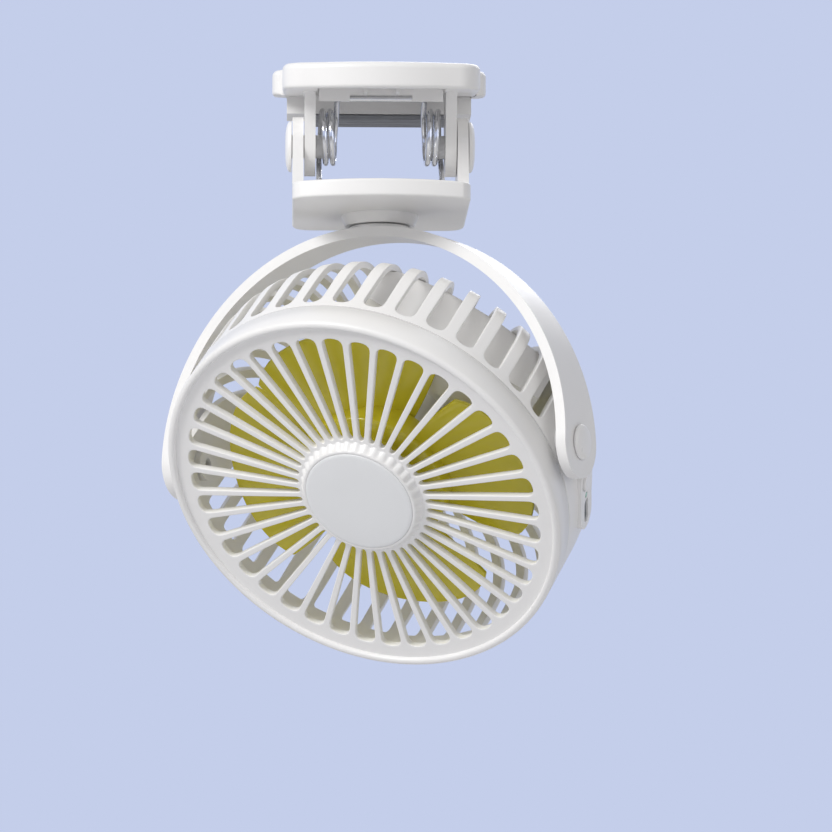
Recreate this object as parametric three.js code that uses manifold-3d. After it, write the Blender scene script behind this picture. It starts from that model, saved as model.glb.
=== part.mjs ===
// A clip fan: a round slatted head in a half-hoop yoke, hung from a sprung clamp by a turning post.
// Millimetres. The origin is the middle of the lower pad's top face. +X is to the right of somebody
// facing the fan, +Y runs from the handles to the jaws, and +Z is up. At rest the head stands as in
// the photo, and the clamp is open by the thickness of a shelf.
import * as THREE from "three";
import { mergeVertices } from "three/addons/utils/BufferGeometryUtils.js";
import Module from "manifold-3d";

const wasm = await Module();
wasm.setup();

// ---- fits ----
const GAP = 0.3; // between two pieces that seat on each other
const SCREW_SLACK = 0.3; // between a screw's shank and the hole it stands in

// ---- pose at rest, degrees ----
const HEAD_RADIUS = 71.4;
const YOKE_RADIUS = HEAD_RADIUS + 6.4;
const HEAD_TURN = 29; // the head looks this far to the viewer's left
const HEAD_NOD = 40.5; // and this far down
const CLAMP_TILT = 8; // the upper plate's slope, rear end up

// ---- clamp ----
const SHELF = 29.2; // between the two pads at rest
const HINGE_UP = 16.2; // the hinge above the lower pad's face
const HINGE_BACK = 25; // the hinge in front of the pads' middle
const PLATE_WIDTH = 60.4;
const PLATE_THICK = 6;
const PLATE_FRONT = 28; // from the hinge forward to the corners of the front edge
const PLATE_REAR = 37; // from the hinge back to the rear edge
const FRONT_BULGE = 9; // how far the middle of the front edge stands out
const PLATE_CORNER = 8;
const LOWER_CORNER = 3; // front corners
const UPPER_CORNER = 10;
const EAR_THICK = 3.8;
const EAR_RADIUS = 10.2;
const EAR_FOOT = 12; // half the width of an ear where it meets its plate
const PAD_LENGTH = 14;
const PAD_THICK = 1.7;
const PAD_PROUD = 1; // the lower pad's face above the plate
const PAD_WIDTH = 50;
const GROOVE = 0.8; // width of the grip grooves
const GROOVE_DEPTH = 0.5;
const GROOVE_PITCH = 2.8;

const TOP_WIDTH = 67.4; // the upper plate's handle
const TOP_JAW_WIDTH = 74.6; // and its wider rear part
const TOP_THICK = 8.8;
const TOP_UNDER = 18.5; // the upper plate's underside above the hinge
const TOP_REAR = 33;
const TOP_STEP = 13; // where the wider part begins, behind the hinge
const STEP_CORNER = 3.5;
const STEP_ROUND = 7; // how far back the wider part's front corners are rounded
const TOP_SKIN = 3.5; // what is left above the hollow in the upper plate
const JAW_WIDTH = 64.4;
const JAW_FRONT = 17.5;
const JAW_BACK = 31.5;

// ---- clamp pins ----
const PIN_RADIUS = 4;
const PIN_HEAD_RADIUS = 8.8;
const PIN_HEAD_RISE = 2.2;
const PIN_INNER = 14; // where the pin ends, from the middle

// ---- spring ----
const WIRE = 2;
const COIL_RADIUS = 9; // to the middle of the wire
const COIL_RISE = 3.4; // the coil hangs this far above the pin's axis
const COIL_PITCH = 2.5;
const COIL_STEPS = 8; // per turn
const WIRE_SIDES = 5;
const COIL_TURNS = 1; // whole turns, beyond the part turn between the legs
const BAR_FORWARD = 9.9; // the cross bar in front of the hinge, along the plate
const LEG_FORWARD = 14; // the leg's foot in front of the hinge
const BAR_BEND = 2.4;
const SADDLE_APART = 5.4; // the two ribs that the bar bears on
const SADDLE_THICK = 1.2;
const FENCE_THICK = 1.8;
const FENCE_HALF = 21.2;
const FENCE_WINDOW = 10.7;

// ---- swivel ----
const SWIVEL_BACK = 6; // the post behind the hinge
const SOCKET_RADIUS = 13.4;
const SOCKET_FOOT_RADIUS = 12;
const SOCKET_DROP = 3.7;
const COLLAR_RADIUS = 10.8;
const COLLAR_HEIGHT = 1.1;
const POST_RADIUS = 5.5;
const SWIVEL_WASHER_RADIUS = 7.4;
const SWIVEL_WASHER_THICK = 1;
const SWIVEL_WELL = 3.5; // depth of the well for the washer and the screw
const SWIVEL_SCREW_RADIUS = 1.6;
const SWIVEL_SCREW_LENGTH = 8;
const SWIVEL_HEAD_RADIUS = 3.4;
const SWIVEL_HEAD_THICK = 1.5;

// ---- yoke ----
const YOKE_THICK = 3.7;
const YOKE_HALF_WIDTH = 12.2; // at the pivots
const YOKE_TOP_HALF_WIDTH = 8.3;
const YOKE_FORWARD = 3; // the hoop's plane in front of the post
const YOKE_SIDES = 32;

// ---- pivots ----
const PIVOT_CAP_RADIUS = 6;
const PIVOT_CAP_RISE = 1.6;
const PIVOT_WELL = 2; // depth of the well under the cap
const PIVOT_HEAD_RADIUS = 3.4;
const PIVOT_HEAD_THICK = 1.2;
const PIVOT_SCREW_RADIUS = 1.5;
const PIVOT_SCREW_LENGTH = 9;
const PIVOT_WASHER_RADIUS = 5.4;
const PIVOT_WASHER_THICK = 1;
const PIVOT_BOSS_RADIUS = 5.8;

// ---- head ----
const HEAD_DROP = 5.5; // the head's own axis below the pivots
const HEAD_SIDES = 80;
const WALL = 2.2;
const FRONT_FACE = 18.8; // in front of the pivots
const PARTING = 8;
const RIM_ROUND = 2.6;
const REAR_ROUND = 20;
const BACK_FACE = -34;
const GRILLE_FACE = 17.2; // front of the spokes
const GRILLE_DEPTH = 2.4;
const SLOTS = 40;
const SLOT_MARGIN = 7.4; // from a slot's round end to the head's side
const SLOT_OUTER = HEAD_RADIUS - SLOT_MARGIN;
const SLOT_INNER = 23.4;
const SLOT_WIDE = 6.4;
const SLOT_NARROW = 1.7;
const HUB_RING = 22.8;
const HUB_DISC = 19.4;
const HUB_FACE = 20.4;
const HUB_SEAT = 18.2;
const SIDE_SLOT_FRONT = 5.4;
const SIDE_SLOT_WIDE = 7.2;
const SIDE_SLOT_RUN = 39.4; // how far a side slot runs in over the back
const SIDE_SLOT_INNER = HEAD_RADIUS - SIDE_SLOT_RUN;
const SIDE_SLOT_NARROW = 2.8;
const CLOSED_RIGHT = [81, 126]; // no slots between these angles, clockwise from the top
const CLOSED_LEFT = [270, 279];
const LIP = 1.8; // the grille's tongue inside the housing

// ---- impeller and motor ----
const BLADES = 4;
const BLADE_MARGIN = 15.4; // from a blade's tip to the head's side
const BLADE_TIP = HEAD_RADIUS - BLADE_MARGIN;
const BLADE_SPAN = 68; // degrees
const BLADE_RISE = 14; // along the axis, from one edge to the other
const BLADE_THICK = 1.5;
const BLADE_MIDDLE = 4.6;
const IMPELLER_HUB = 26.5;
const IMPELLER_STEP = 20;
const IMPELLER_FRONT = 13;
const IMPELLER_BACK = -1.4;
const IMPELLER_WALL = 1.8;
const HUB_HOLLOW = 12; // how far behind the cup the blades' roots are trimmed
const BUSH_RADIUS = 3;
const BUSH_LENGTH = 8;
const SHAFT_RADIUS = 1;
const MOTOR_RADIUS = 12;
const MOTOR_FRONT = -4;
const MOTOR_LENGTH = 22;
const HOLDER_WALL = 2;

// ---- battery, board and panel ----
const CELL_RADIUS = 9.1;
const CELL_LENGTH = 64;
const CELL_ANGLE = 42; // clockwise from the top
const CELL_MARGIN = 24.4; // from the cell's axis to the head's side
const CELL_OUT = HEAD_RADIUS - CELL_MARGIN; // its axis from the head's axis
const BOX_FRONT = -6.4;
const BOX_WALL = 1.2;
const PANEL_ANGLE = 107;
const PANEL_LENGTH = 26;
const PANEL_WIDTH = 11;
const PANEL_MIDDLE = -7;
const PANEL_PROUD = 0.9;
const BUTTON_RADIUS = 3.4;
const BUTTON_PROUD = 0.8;
const BUTTON_SHIFT = 6.5;
const SOCKET_WIDTH = 9;
const SOCKET_HIGH = 3.2;
const SOCKET_DEEP = 7.2;
const SOCKET_SHIFT = -6;
const LIGHT_RADIUS = 0.9;
const LIGHT_LENGTH = 4;
const BOARD_THICK = 1.2;
const BOARD_MARGIN = 9.9; // from the board's outer face to the head's side
const BOARD_OUT = HEAD_RADIUS - BOARD_MARGIN; // the board's outer face from the head's axis
const SWITCH_SIDE = 5;
const BOARD_LEG = 11.9; // the panel's two legs that carry the board, from its middle

const rad = THREE.MathUtils.degToRad;

// A solid for the boolean operations, from any closed geometry.
function solid(geometry) {
  const bare = geometry.clone();
  bare.deleteAttribute("normal");
  bare.deleteAttribute("uv");
  const joined = mergeVertices(bare, 1e-4);
  const index = joined.index.array;
  const kept = [];
  for (let i = 0; i < index.length; i += 3) {
    const [a, b, c] = [index[i], index[i + 1], index[i + 2]];
    if (a !== b && b !== c && c !== a) kept.push(a, b, c);
  }
  const build = (corners) =>
    new wasm.Manifold(
      new wasm.Mesh({
        numProp: 3,
        vertProperties: joined.attributes.position.array,
        triVerts: new Uint32Array(corners),
      }),
    );
  const made = build(kept);
  return made.volume() < 0 ? build(kept.reverse()) : made;
}

// A named mesh from a solid.
function mesh(name, body, material) {
  const data = body.getMesh();
  const geometry = new THREE.BufferGeometry();
  const points = new Float32Array(data.numVert * 3);
  for (let i = 0; i < data.numVert; i++) {
    const start = i * data.numProp;
    points.set(data.vertProperties.subarray(start, start + 3), i * 3);
  }
  geometry.setAttribute("position", new THREE.BufferAttribute(points, 3));
  geometry.setIndex(new THREE.BufferAttribute(data.triVerts, 1));
  geometry.computeVertexNormals();
  const made = new THREE.Mesh(geometry, material);
  made.name = name;
  return made;
}

function plastic(color, roughness = 0.5) {
  return new THREE.MeshStandardMaterial({ color, roughness, metalness: 0 });
}

function metal(color, roughness = 0.3) {
  return new THREE.MeshStandardMaterial({ color, roughness, metalness: 1 });
}

function group(name, ...children) {
  const made = new THREE.Group();
  made.name = name;
  made.add(...children);
  return made;
}

function boxGeometry(x, y, z) {
  const [x0, x1] = x;
  const [y0, y1] = y;
  const [z0, z1] = z;
  return new THREE.BoxGeometry(x1 - x0, y1 - y0, z1 - z0).translate(
    (x0 + x1) / 2,
    (y0 + y1) / 2,
    (z0 + z1) / 2,
  );
}

// A box between two limits on each axis.
function box(x, y, z) {
  return solid(boxGeometry(x, y, z));
}

// A cylinder about the X axis, through (y, z).
function rodX(radius, x0, x1, y = 0, z = 0, sides = 24) {
  const made = new THREE.CylinderGeometry(radius, radius, x1 - x0, sides);
  made.rotateZ(-Math.PI / 2).translate((x0 + x1) / 2, y, z);
  return solid(made);
}

// A cylinder or cone about the Z axis, through (x, y).
function rodZ(radius, z0, z1, x = 0, y = 0, sides = 32, topRadius = radius) {
  const made = new THREE.CylinderGeometry(topRadius, radius, z1 - z0, sides);
  made.rotateX(Math.PI / 2).translate(x, y, (z0 + z1) / 2);
  return solid(made);
}

// A body turned about the head's axis, from [radius, distance forward] pairs.
function turned(profile, sides = HEAD_SIDES) {
  const points = profile.map(([r, forward]) => new THREE.Vector2(r, -forward));
  return solid(new THREE.LatheGeometry(points, sides));
}

// A body turned about the Z axis, from [radius, height] pairs.
function turnedZ(profile, sides = 32) {
  const points = profile.map(([r, height]) => new THREE.Vector2(r, height));
  return solid(new THREE.LatheGeometry(points, sides).rotateX(Math.PI / 2));
}

// A flat outline drawn in the head's front view and carried from one distance forward to another.
function alongHead(shape, from, to) {
  const made = new THREE.ExtrudeGeometry(shape, {
    depth: to - from,
    bevelEnabled: false,
    curveSegments: 6,
  });
  return solid(made.translate(0, 0, from).rotateX(Math.PI / 2));
}

// A flat outline drawn in plan and carried upwards.
function alongZ(shape, from, to, curveSegments = 8) {
  const made = new THREE.ExtrudeGeometry(shape, {
    depth: to - from,
    bevelEnabled: false,
    curveSegments,
  });
  return solid(made.translate(0, 0, from));
}

// An outline drawn in the side view (y, z) and carried along X.
function alongX(shape, from, to, curveSegments = 12) {
  const made = new THREE.ExtrudeGeometry(shape, {
    depth: to - from,
    bevelEnabled: false,
    curveSegments,
  });
  const turn = new THREE.Matrix4().makeBasis(
    new THREE.Vector3(0, 1, 0),
    new THREE.Vector3(0, 0, 1),
    new THREE.Vector3(1, 0, 0),
  );
  return solid(made.translate(0, 0, from).applyMatrix4(turn));
}

// A solid turned about the X axis through the hinge's own origin, or about the head's axis.
function tip(body, degrees) {
  return body.rotate([degrees, 0, 0]);
}

function clockwise(body, degrees) {
  return body.rotate([0, degrees, 0]);
}

function addAll(bodies) {
  return bodies.reduce((sum, body) => sum.add(body));
}

function mirrored(body) {
  return body.mirror([1, 0, 0]);
}

const WHITE = 0xf1f1f3;

// ================= clamp =================
// Pieces of the clamp are drawn from the hinge, with Y back and Z up.

const EAR_INNER = PLATE_WIDTH / 2 - EAR_THICK; // inner face of the lower plate's ears
const TOP_EAR_OUTER = EAR_INNER - GAP;
const TOP_EAR_INNER = TOP_EAR_OUTER - EAR_THICK;
const PLATE_TOP = -HINGE_UP - PAD_PROUD;
const PLATE_BOTTOM = PLATE_TOP - PLATE_THICK;

// A plate in plan: a front edge that bulges forward, straight sides, and round corners.
function frontEdge(shape, half, front, corner) {
  shape.moveTo(-half, -front + corner);
  shape.quadraticCurveTo(-half, -front - 1, -half + corner, -front - 0.35 * FRONT_BULGE);
  shape.quadraticCurveTo(
    0,
    -front - 1.65 * FRONT_BULGE,
    half - corner,
    -front - 0.35 * FRONT_BULGE,
  );
  shape.quadraticCurveTo(half, -front - 1, half, -front + corner);
}

function lowerPlan() {
  const half = PLATE_WIDTH / 2;
  const shape = new THREE.Shape();
  frontEdge(shape, half, PLATE_FRONT, LOWER_CORNER);
  shape.lineTo(half, PLATE_REAR - PLATE_CORNER);
  shape.quadraticCurveTo(half, PLATE_REAR, half - PLATE_CORNER, PLATE_REAR);
  shape.lineTo(-half + PLATE_CORNER, PLATE_REAR);
  shape.quadraticCurveTo(-half, PLATE_REAR, -half, PLATE_REAR - PLATE_CORNER);
  return shape;
}

function upperPlan() {
  const half = TOP_WIDTH / 2;
  const wide = TOP_JAW_WIDTH / 2;
  const shape = new THREE.Shape();
  frontEdge(shape, half, PLATE_FRONT, UPPER_CORNER);
  shape.lineTo(half, TOP_STEP);
  shape.lineTo(wide - STEP_CORNER, TOP_STEP);
  shape.quadraticCurveTo(wide, TOP_STEP, wide, TOP_STEP + STEP_ROUND);
  shape.lineTo(wide, TOP_REAR - PLATE_CORNER);
  shape.quadraticCurveTo(wide, TOP_REAR, wide - PLATE_CORNER, TOP_REAR);
  shape.lineTo(-wide + PLATE_CORNER, TOP_REAR);
  shape.quadraticCurveTo(-wide, TOP_REAR, -wide, TOP_REAR - PLATE_CORNER);
  shape.lineTo(-wide, TOP_STEP + STEP_ROUND);
  shape.quadraticCurveTo(-wide, TOP_STEP, -wide + STEP_CORNER, TOP_STEP);
  shape.lineTo(-half, TOP_STEP);
  return shape;
}

// An ear in side view: round about the hinge, and wider where it meets its plate at the height foot.
function ear(foot) {
  const up = Math.sign(foot);
  const shape = new THREE.Shape();
  shape.moveTo(-EAR_FOOT, foot);
  shape.lineTo(-EAR_RADIUS, up * 0.2);
  shape.absarc(0, 0, EAR_RADIUS, Math.PI, 0, up < 0);
  shape.lineTo(EAR_FOOT, foot);
  shape.closePath();
  return shape;
}

function bothSides(make) {
  const right = make();
  return right.add(mirrored(make()));
}

function lowerClamp() {
  let body = alongZ(lowerPlan(), PLATE_BOTTOM, PLATE_TOP);
  body = body.add(
    bothSides(() => alongX(ear(PLATE_TOP - 1), EAR_INNER, PLATE_WIDTH / 2)),
  );
  const socket = turnedZ([
    [0, PLATE_BOTTOM + 1],
    [SOCKET_RADIUS, PLATE_BOTTOM + 1],
    [SOCKET_RADIUS, PLATE_BOTTOM - 0.6],
    [SOCKET_FOOT_RADIUS, PLATE_BOTTOM - SOCKET_DROP],
    [0, PLATE_BOTTOM - SOCKET_DROP],
  ]).translate([0, SWIVEL_BACK, 0]);
  body = body.add(socket);
  const well = rodZ(SWIVEL_WASHER_RADIUS + GAP, PLATE_TOP - SWIVEL_WELL, PLATE_TOP + 1, 0, SWIVEL_BACK);
  const bore = rodZ(POST_RADIUS + GAP, PLATE_BOTTOM - SOCKET_DROP - 1, PLATE_TOP, 0, SWIVEL_BACK);
  body = body.subtract(well).subtract(bore);
  body = body.subtract(padBlock(PLATE_TOP - PAD_THICK + PAD_PROUD - GAP, PLATE_TOP + 1, GAP));
  const pinHole = () => rodX(PIN_RADIUS + GAP, EAR_INNER - 1, PLATE_WIDTH / 2 + 1);
  return body.subtract(bothSides(pinHole));
}

// The space a pad takes up, with its corners square.
function padBlock(from, to, slack = 0) {
  const half = PAD_WIDTH / 2 + slack;
  const middle = HINGE_BACK;
  const reach = PAD_LENGTH / 2 + slack;
  return box([-half, half], [middle - reach, middle + reach], [from, to]);
}

// Grip grooves across a pad, two on each side of its middle.
function grooves(face, up) {
  const cuts = [-2, -1, 1, 2].map((step) => {
    const y = HINGE_BACK + step * GROOVE_PITCH - (Math.sign(step) * GROOVE_PITCH) / 4;
    const depth = [face - up * GROOVE_DEPTH, face + up].sort((a, b) => a - b);
    return box([-PAD_WIDTH, PAD_WIDTH], [y - GROOVE / 2, y + GROOVE / 2], depth);
  });
  return addAll(cuts);
}

function lowerPad() {
  const face = -HINGE_UP;
  return padBlock(face - PAD_THICK, face).subtract(grooves(face, 1));
}

function upperPad() {
  const face = SHELF - HINGE_UP;
  return padBlock(face, face + PAD_THICK).subtract(grooves(face, -1));
}

// The upper plate lies flat here, and is tipped to its slope once its ears and ribs are on it.
function upperPlate() {
  let body = alongZ(upperPlan(), TOP_UNDER, TOP_UNDER + TOP_THICK);
  const ceiling = TOP_UNDER + TOP_THICK - TOP_SKIN;
  const inside = TOP_EAR_INNER - 0.6;
  body = body.subtract(
    box([-inside, inside], [-PLATE_FRONT - 2, TOP_STEP], [TOP_UNDER - 1, ceiling]),
  );
  body = body.add(
    bothSides(() => alongX(ear(TOP_UNDER + 1), TOP_EAR_INNER, TOP_EAR_OUTER)),
  );
  const saddle = () =>
    box(
      [SADDLE_APART - SADDLE_THICK / 2, SADDLE_APART + SADDLE_THICK / 2],
      [-PLATE_FRONT, -BAR_FORWARD + WIRE],
      [BAR_HEIGHT + WIRE / 2 + GAP, ceiling + 1],
    );
  body = body.add(bothSides(saddle));
  const fenceBack = -BAR_FORWARD - WIRE / 2 - GAP;
  const fence = box(
    [-FENCE_HALF, FENCE_HALF],
    [fenceBack - FENCE_THICK, fenceBack],
    [BAR_HEIGHT - WIRE / 2, ceiling + 1],
  );
  const window = box(
    [-FENCE_WINDOW, FENCE_WINDOW],
    [fenceBack - FENCE_THICK - 1, fenceBack + 1],
    [BAR_HEIGHT - WIRE, BAR_HEIGHT + WIRE / 2 + GAP],
  );
  body = body.add(fence).subtract(window);
  const pinHole = () => rodX(PIN_RADIUS + GAP, TOP_EAR_INNER - 1, TOP_EAR_OUTER + 1);
  return tip(body.subtract(bothSides(pinHole)), CLAMP_TILT);
}

function upperClamp() {
  const seat = SHELF - HINGE_UP + PAD_THICK + GAP;
  const half = JAW_WIDTH / 2;
  const jaw = box([-half, half], [JAW_FRONT, JAW_BACK], [seat, TOP_UNDER + TOP_SKIN]);
  const locate = padBlock(seat - 1, seat + 0.4, GAP);
  return upperPlate().add(jaw).subtract(locate.translate([0, 0, -0.4]));
}

// A pin from outside the ears to inside the coil, with a domed head.
function clampPin() {
  const face = PLATE_WIDTH / 2 + GAP;
  const dome = new THREE.LatheGeometry(
    [
      new THREE.Vector2(0, PIN_INNER),
      new THREE.Vector2(PIN_RADIUS, PIN_INNER),
      new THREE.Vector2(PIN_RADIUS, face),
      new THREE.Vector2(PIN_HEAD_RADIUS, face),
      new THREE.Vector2(PIN_HEAD_RADIUS * 0.94, face + PIN_HEAD_RISE * 0.45),
      new THREE.Vector2(PIN_HEAD_RADIUS * 0.72, face + PIN_HEAD_RISE * 0.8),
      new THREE.Vector2(PIN_HEAD_RADIUS * 0.4, face + PIN_HEAD_RISE * 0.96),
      new THREE.Vector2(0, face + PIN_HEAD_RISE),
    ],
    24,
  );
  return solid(dome.rotateZ(-Math.PI / 2));
}

// ---- spring ----

const BAR_HEIGHT = TOP_UNDER - 2.4; // the cross bar's middle, measured along the tilted plate

// A path through given points that keeps to them exactly.
class WirePath extends THREE.Curve {
  constructor(points) {
    super();
    this.points = points;
  }

  getPoint(t, target = new THREE.Vector3()) {
    const place = Math.min(Math.max(t, 0), 1) * (this.points.length - 1);
    const low = Math.min(Math.floor(place), this.points.length - 2);
    return target.copy(this.points[low]).lerp(this.points[low + 1], place - low);
  }

  getUtoTmapping(u) {
    return u;
  }
}

// The angle, about the coil's centre, at which a straight leg from a point meets the coil.
function touchAngle(away, turn) {
  const distance = Math.hypot(away.y, away.z);
  const towards = Math.atan2(away.z, away.y);
  return towards + turn * Math.acos(COIL_RADIUS / distance);
}

function springHalf() {
  const slope = rad(CLAMP_TILT);
  const bar = new THREE.Vector3(0, -BAR_FORWARD, BAR_HEIGHT).applyAxisAngle(
    new THREE.Vector3(1, 0, 0),
    slope,
  );
  const centre = new THREE.Vector3(0, 0, COIL_RISE);
  const foot = new THREE.Vector3(0, -LEG_FORWARD, PLATE_TOP + WIRE / 2 + GAP);
  const first = touchAngle(foot.clone().sub(centre), 1);
  let last = touchAngle(bar.clone().sub(centre), -1);
  while (last < first + COIL_TURNS * 2 * Math.PI) last += 2 * Math.PI;
  const steps = Math.round(((last - first) / (2 * Math.PI)) * COIL_STEPS);
  const outer = TOP_EAR_INNER - GAP - WIRE / 2;
  const width = ((last - first) / (2 * Math.PI)) * COIL_PITCH;
  const points = [foot.clone().setX(outer)];
  for (let i = 0; i <= steps; i++) {
    const angle = first + ((last - first) * i) / steps;
    points.push(
      new THREE.Vector3(
        outer - (width * i) / steps,
        centre.y + COIL_RADIUS * Math.cos(angle),
        centre.z + COIL_RADIUS * Math.sin(angle),
      ),
    );
  }
  const end = points[points.length - 1];
  const corner = bar.clone().setX(end.x);
  const before = corner.clone().lerp(end, BAR_BEND / corner.distanceTo(end));
  const after = corner.clone().setX(corner.x - BAR_BEND);
  const bend = new THREE.QuadraticBezierCurve3(before, corner, after);
  return points.concat(bend.getPoints(4));
}

// The least distance between the wire's surfaces at places that aren't neighbours along it.
function leastGap(points) {
  const path = new WirePath(points);
  const count = 12 * points.length;
  const sampled = path.getPoints(count);
  let least = Infinity;
  let along = [0];
  for (let i = 1; i < sampled.length; i++) {
    along.push(along[i - 1] + sampled[i].distanceTo(sampled[i - 1]));
  }
  for (let i = 0; i < sampled.length; i++) {
    for (let j = i + 1; j < sampled.length; j++) {
      if (along[j] - along[i] > 3 * COIL_RADIUS) {
        least = Math.min(least, sampled[i].distanceTo(sampled[j]));
      }
    }
  }
  return least - WIRE;
}

function spring() {
  const right = springHalf();
  const left = right.map((p) => new THREE.Vector3(-p.x, p.y, p.z)).reverse();
  const points = right.concat(left);
  console.log("least gap of the spring's wire to itself: " + leastGap(points).toFixed(2) + " mm");
  const section = new THREE.Shape();
  for (let i = 0; i < WIRE_SIDES; i++) {
    const angle = (i * 2 * Math.PI) / WIRE_SIDES;
    const x = (WIRE / 2) * Math.cos(angle);
    const y = (WIRE / 2) * Math.sin(angle);
    if (i === 0) section.moveTo(x, y);
    else section.lineTo(x, y);
  }
  const tube = new THREE.ExtrudeGeometry(section, {
    steps: points.length - 1,
    bevelEnabled: false,
    extrudePath: new WirePath(points),
  });
  return solid(tube);
}

// ================= swivel and yoke =================
// The swivel's pieces are drawn from the hinge too, and the yoke from the point between its pivots.

const SOCKET_BOTTOM = PLATE_BOTTOM - SOCKET_DROP;
const WELL_FLOOR = PLATE_TOP - SWIVEL_WELL;
const WASHER_TOP = WELL_FLOOR + GAP + SWIVEL_WASHER_THICK;
const COLLAR_TOP = SOCKET_BOTTOM - GAP;
const YOKE_TOP = COLLAR_TOP - COLLAR_HEIGHT;
const PIVOT_HEIGHT = YOKE_TOP - YOKE_RADIUS; // the pivots, from the hinge
const POST_TOP = WELL_FLOOR - PIVOT_HEIGHT;

function swivelWasher() {
  const ring = rodZ(SWIVEL_WASHER_RADIUS, WELL_FLOOR + GAP, WASHER_TOP, 0, SWIVEL_BACK);
  const hole = rodZ(SWIVEL_SCREW_RADIUS + SCREW_SLACK, WELL_FLOOR, WASHER_TOP + 1, 0, SWIVEL_BACK, 16);
  return ring.subtract(hole);
}

function swivelScrew() {
  const under = WASHER_TOP + GAP;
  const head = rodZ(SWIVEL_HEAD_RADIUS, under, under + SWIVEL_HEAD_THICK, 0, SWIVEL_BACK, 24);
  const shank = rodZ(SWIVEL_SCREW_RADIUS, under - SWIVEL_SCREW_LENGTH, under + 0.5, 0, SWIVEL_BACK, 16);
  return head.add(shank);
}

// The hoop's front view: an arc over the top with straight ends down past the pivots.
function hoopShape() {
  const inner = YOKE_RADIUS - YOKE_THICK;
  const shape = new THREE.Shape();
  shape.moveTo(YOKE_RADIUS, -YOKE_HALF_WIDTH);
  shape.lineTo(YOKE_RADIUS, 0);
  shape.absarc(0, 0, YOKE_RADIUS, 0, Math.PI, false);
  shape.lineTo(-YOKE_RADIUS, -YOKE_HALF_WIDTH);
  shape.lineTo(-inner, -YOKE_HALF_WIDTH);
  shape.lineTo(-inner, 0);
  shape.absarc(0, 0, inner, Math.PI, 0, true);
  shape.lineTo(inner, -YOKE_HALF_WIDTH);
  shape.closePath();
  return shape;
}

// The hoop's side view: round ends at the pivots, narrowing towards the top.
function hoopSide() {
  const shape = new THREE.Shape();
  const top = YOKE_RADIUS + 1;
  shape.moveTo(YOKE_TOP_HALF_WIDTH, top);
  shape.quadraticCurveTo(YOKE_TOP_HALF_WIDTH, top * 0.6, YOKE_HALF_WIDTH, 0);
  shape.absarc(0, 0, YOKE_HALF_WIDTH, 0, -Math.PI, true);
  shape.quadraticCurveTo(-YOKE_TOP_HALF_WIDTH, top * 0.6, -YOKE_TOP_HALF_WIDTH, top);
  shape.closePath();
  return shape;
}

function yoke() {
  const half = YOKE_HALF_WIDTH + 1;
  const front = new THREE.ExtrudeGeometry(hoopShape(), {
    depth: 2 * half,
    bevelEnabled: false,
    curveSegments: YOKE_SIDES,
  });
  let body = solid(front.translate(0, 0, -half).rotateX(Math.PI / 2));
  body = body.intersect(alongX(hoopSide(), -YOKE_RADIUS - 1, YOKE_RADIUS + 1));
  const top = YOKE_RADIUS;
  const back = YOKE_FORWARD;
  body = body.add(rodZ(COLLAR_RADIUS, top - YOKE_THICK + 0.4, top + COLLAR_HEIGHT, 0, back, 40));
  body = body.add(rodZ(POST_RADIUS, top, POST_TOP, 0, back));
  const hole = SWIVEL_SCREW_RADIUS + SCREW_SLACK;
  const depth = WASHER_TOP + GAP - SWIVEL_SCREW_LENGTH - 1 - PIVOT_HEIGHT;
  body = body.subtract(rodZ(hole, depth, POST_TOP + 1, 0, back, 16));
  const pivotCuts = () => {
    const well = rodX(PIVOT_CAP_RADIUS - 0.8 + GAP, YOKE_RADIUS - PIVOT_WELL, YOKE_RADIUS + 1);
    const deep = YOKE_RADIUS - PIVOT_SCREW_LENGTH;
    const bore = rodX(PIVOT_SCREW_RADIUS + SCREW_SLACK, deep, YOKE_RADIUS, 0, 0, 16);
    return well.add(bore);
  };
  return body.subtract(bothSides(pivotCuts));
}

// A domed cap over the pivot's screw, with a skirt that stands in the yoke's well.
function pivotCap() {
  const face = YOKE_RADIUS + GAP;
  const skirt = PIVOT_CAP_RADIUS - 0.8;
  const floor = YOKE_RADIUS - PIVOT_WELL + GAP + PIVOT_HEAD_THICK + GAP;
  const dome = new THREE.LatheGeometry(
    [
      new THREE.Vector2(0, floor),
      new THREE.Vector2(skirt, floor),
      new THREE.Vector2(skirt, face),
      new THREE.Vector2(PIVOT_CAP_RADIUS, face),
      new THREE.Vector2(PIVOT_CAP_RADIUS * 0.95, face + PIVOT_CAP_RISE * 0.5),
      new THREE.Vector2(PIVOT_CAP_RADIUS * 0.6, face + PIVOT_CAP_RISE * 0.88),
      new THREE.Vector2(0, face + PIVOT_CAP_RISE),
    ],
    24,
  );
  return solid(dome.rotateZ(-Math.PI / 2));
}

function pivotScrew() {
  const under = YOKE_RADIUS - PIVOT_WELL + GAP;
  const head = rodX(PIVOT_HEAD_RADIUS, under, under + PIVOT_HEAD_THICK);
  return head.add(rodX(PIVOT_SCREW_RADIUS, under - PIVOT_SCREW_LENGTH, under + 0.4, 0, 0, 16));
}

const YOKE_INNER = YOKE_RADIUS - YOKE_THICK;
const BOSS_FACE = YOKE_INNER - GAP - PIVOT_WASHER_THICK - GAP;

function pivotWasher() {
  const ring = rodX(PIVOT_WASHER_RADIUS, BOSS_FACE + GAP, YOKE_INNER - GAP);
  const hole = rodX(PIVOT_SCREW_RADIUS + SCREW_SLACK, BOSS_FACE, YOKE_INNER, 0, 0, 16);
  return ring.subtract(hole);
}

// ================= head =================
// Pieces of the head are drawn about its own axis: X across, -Y forward, Z to its top.

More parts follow.
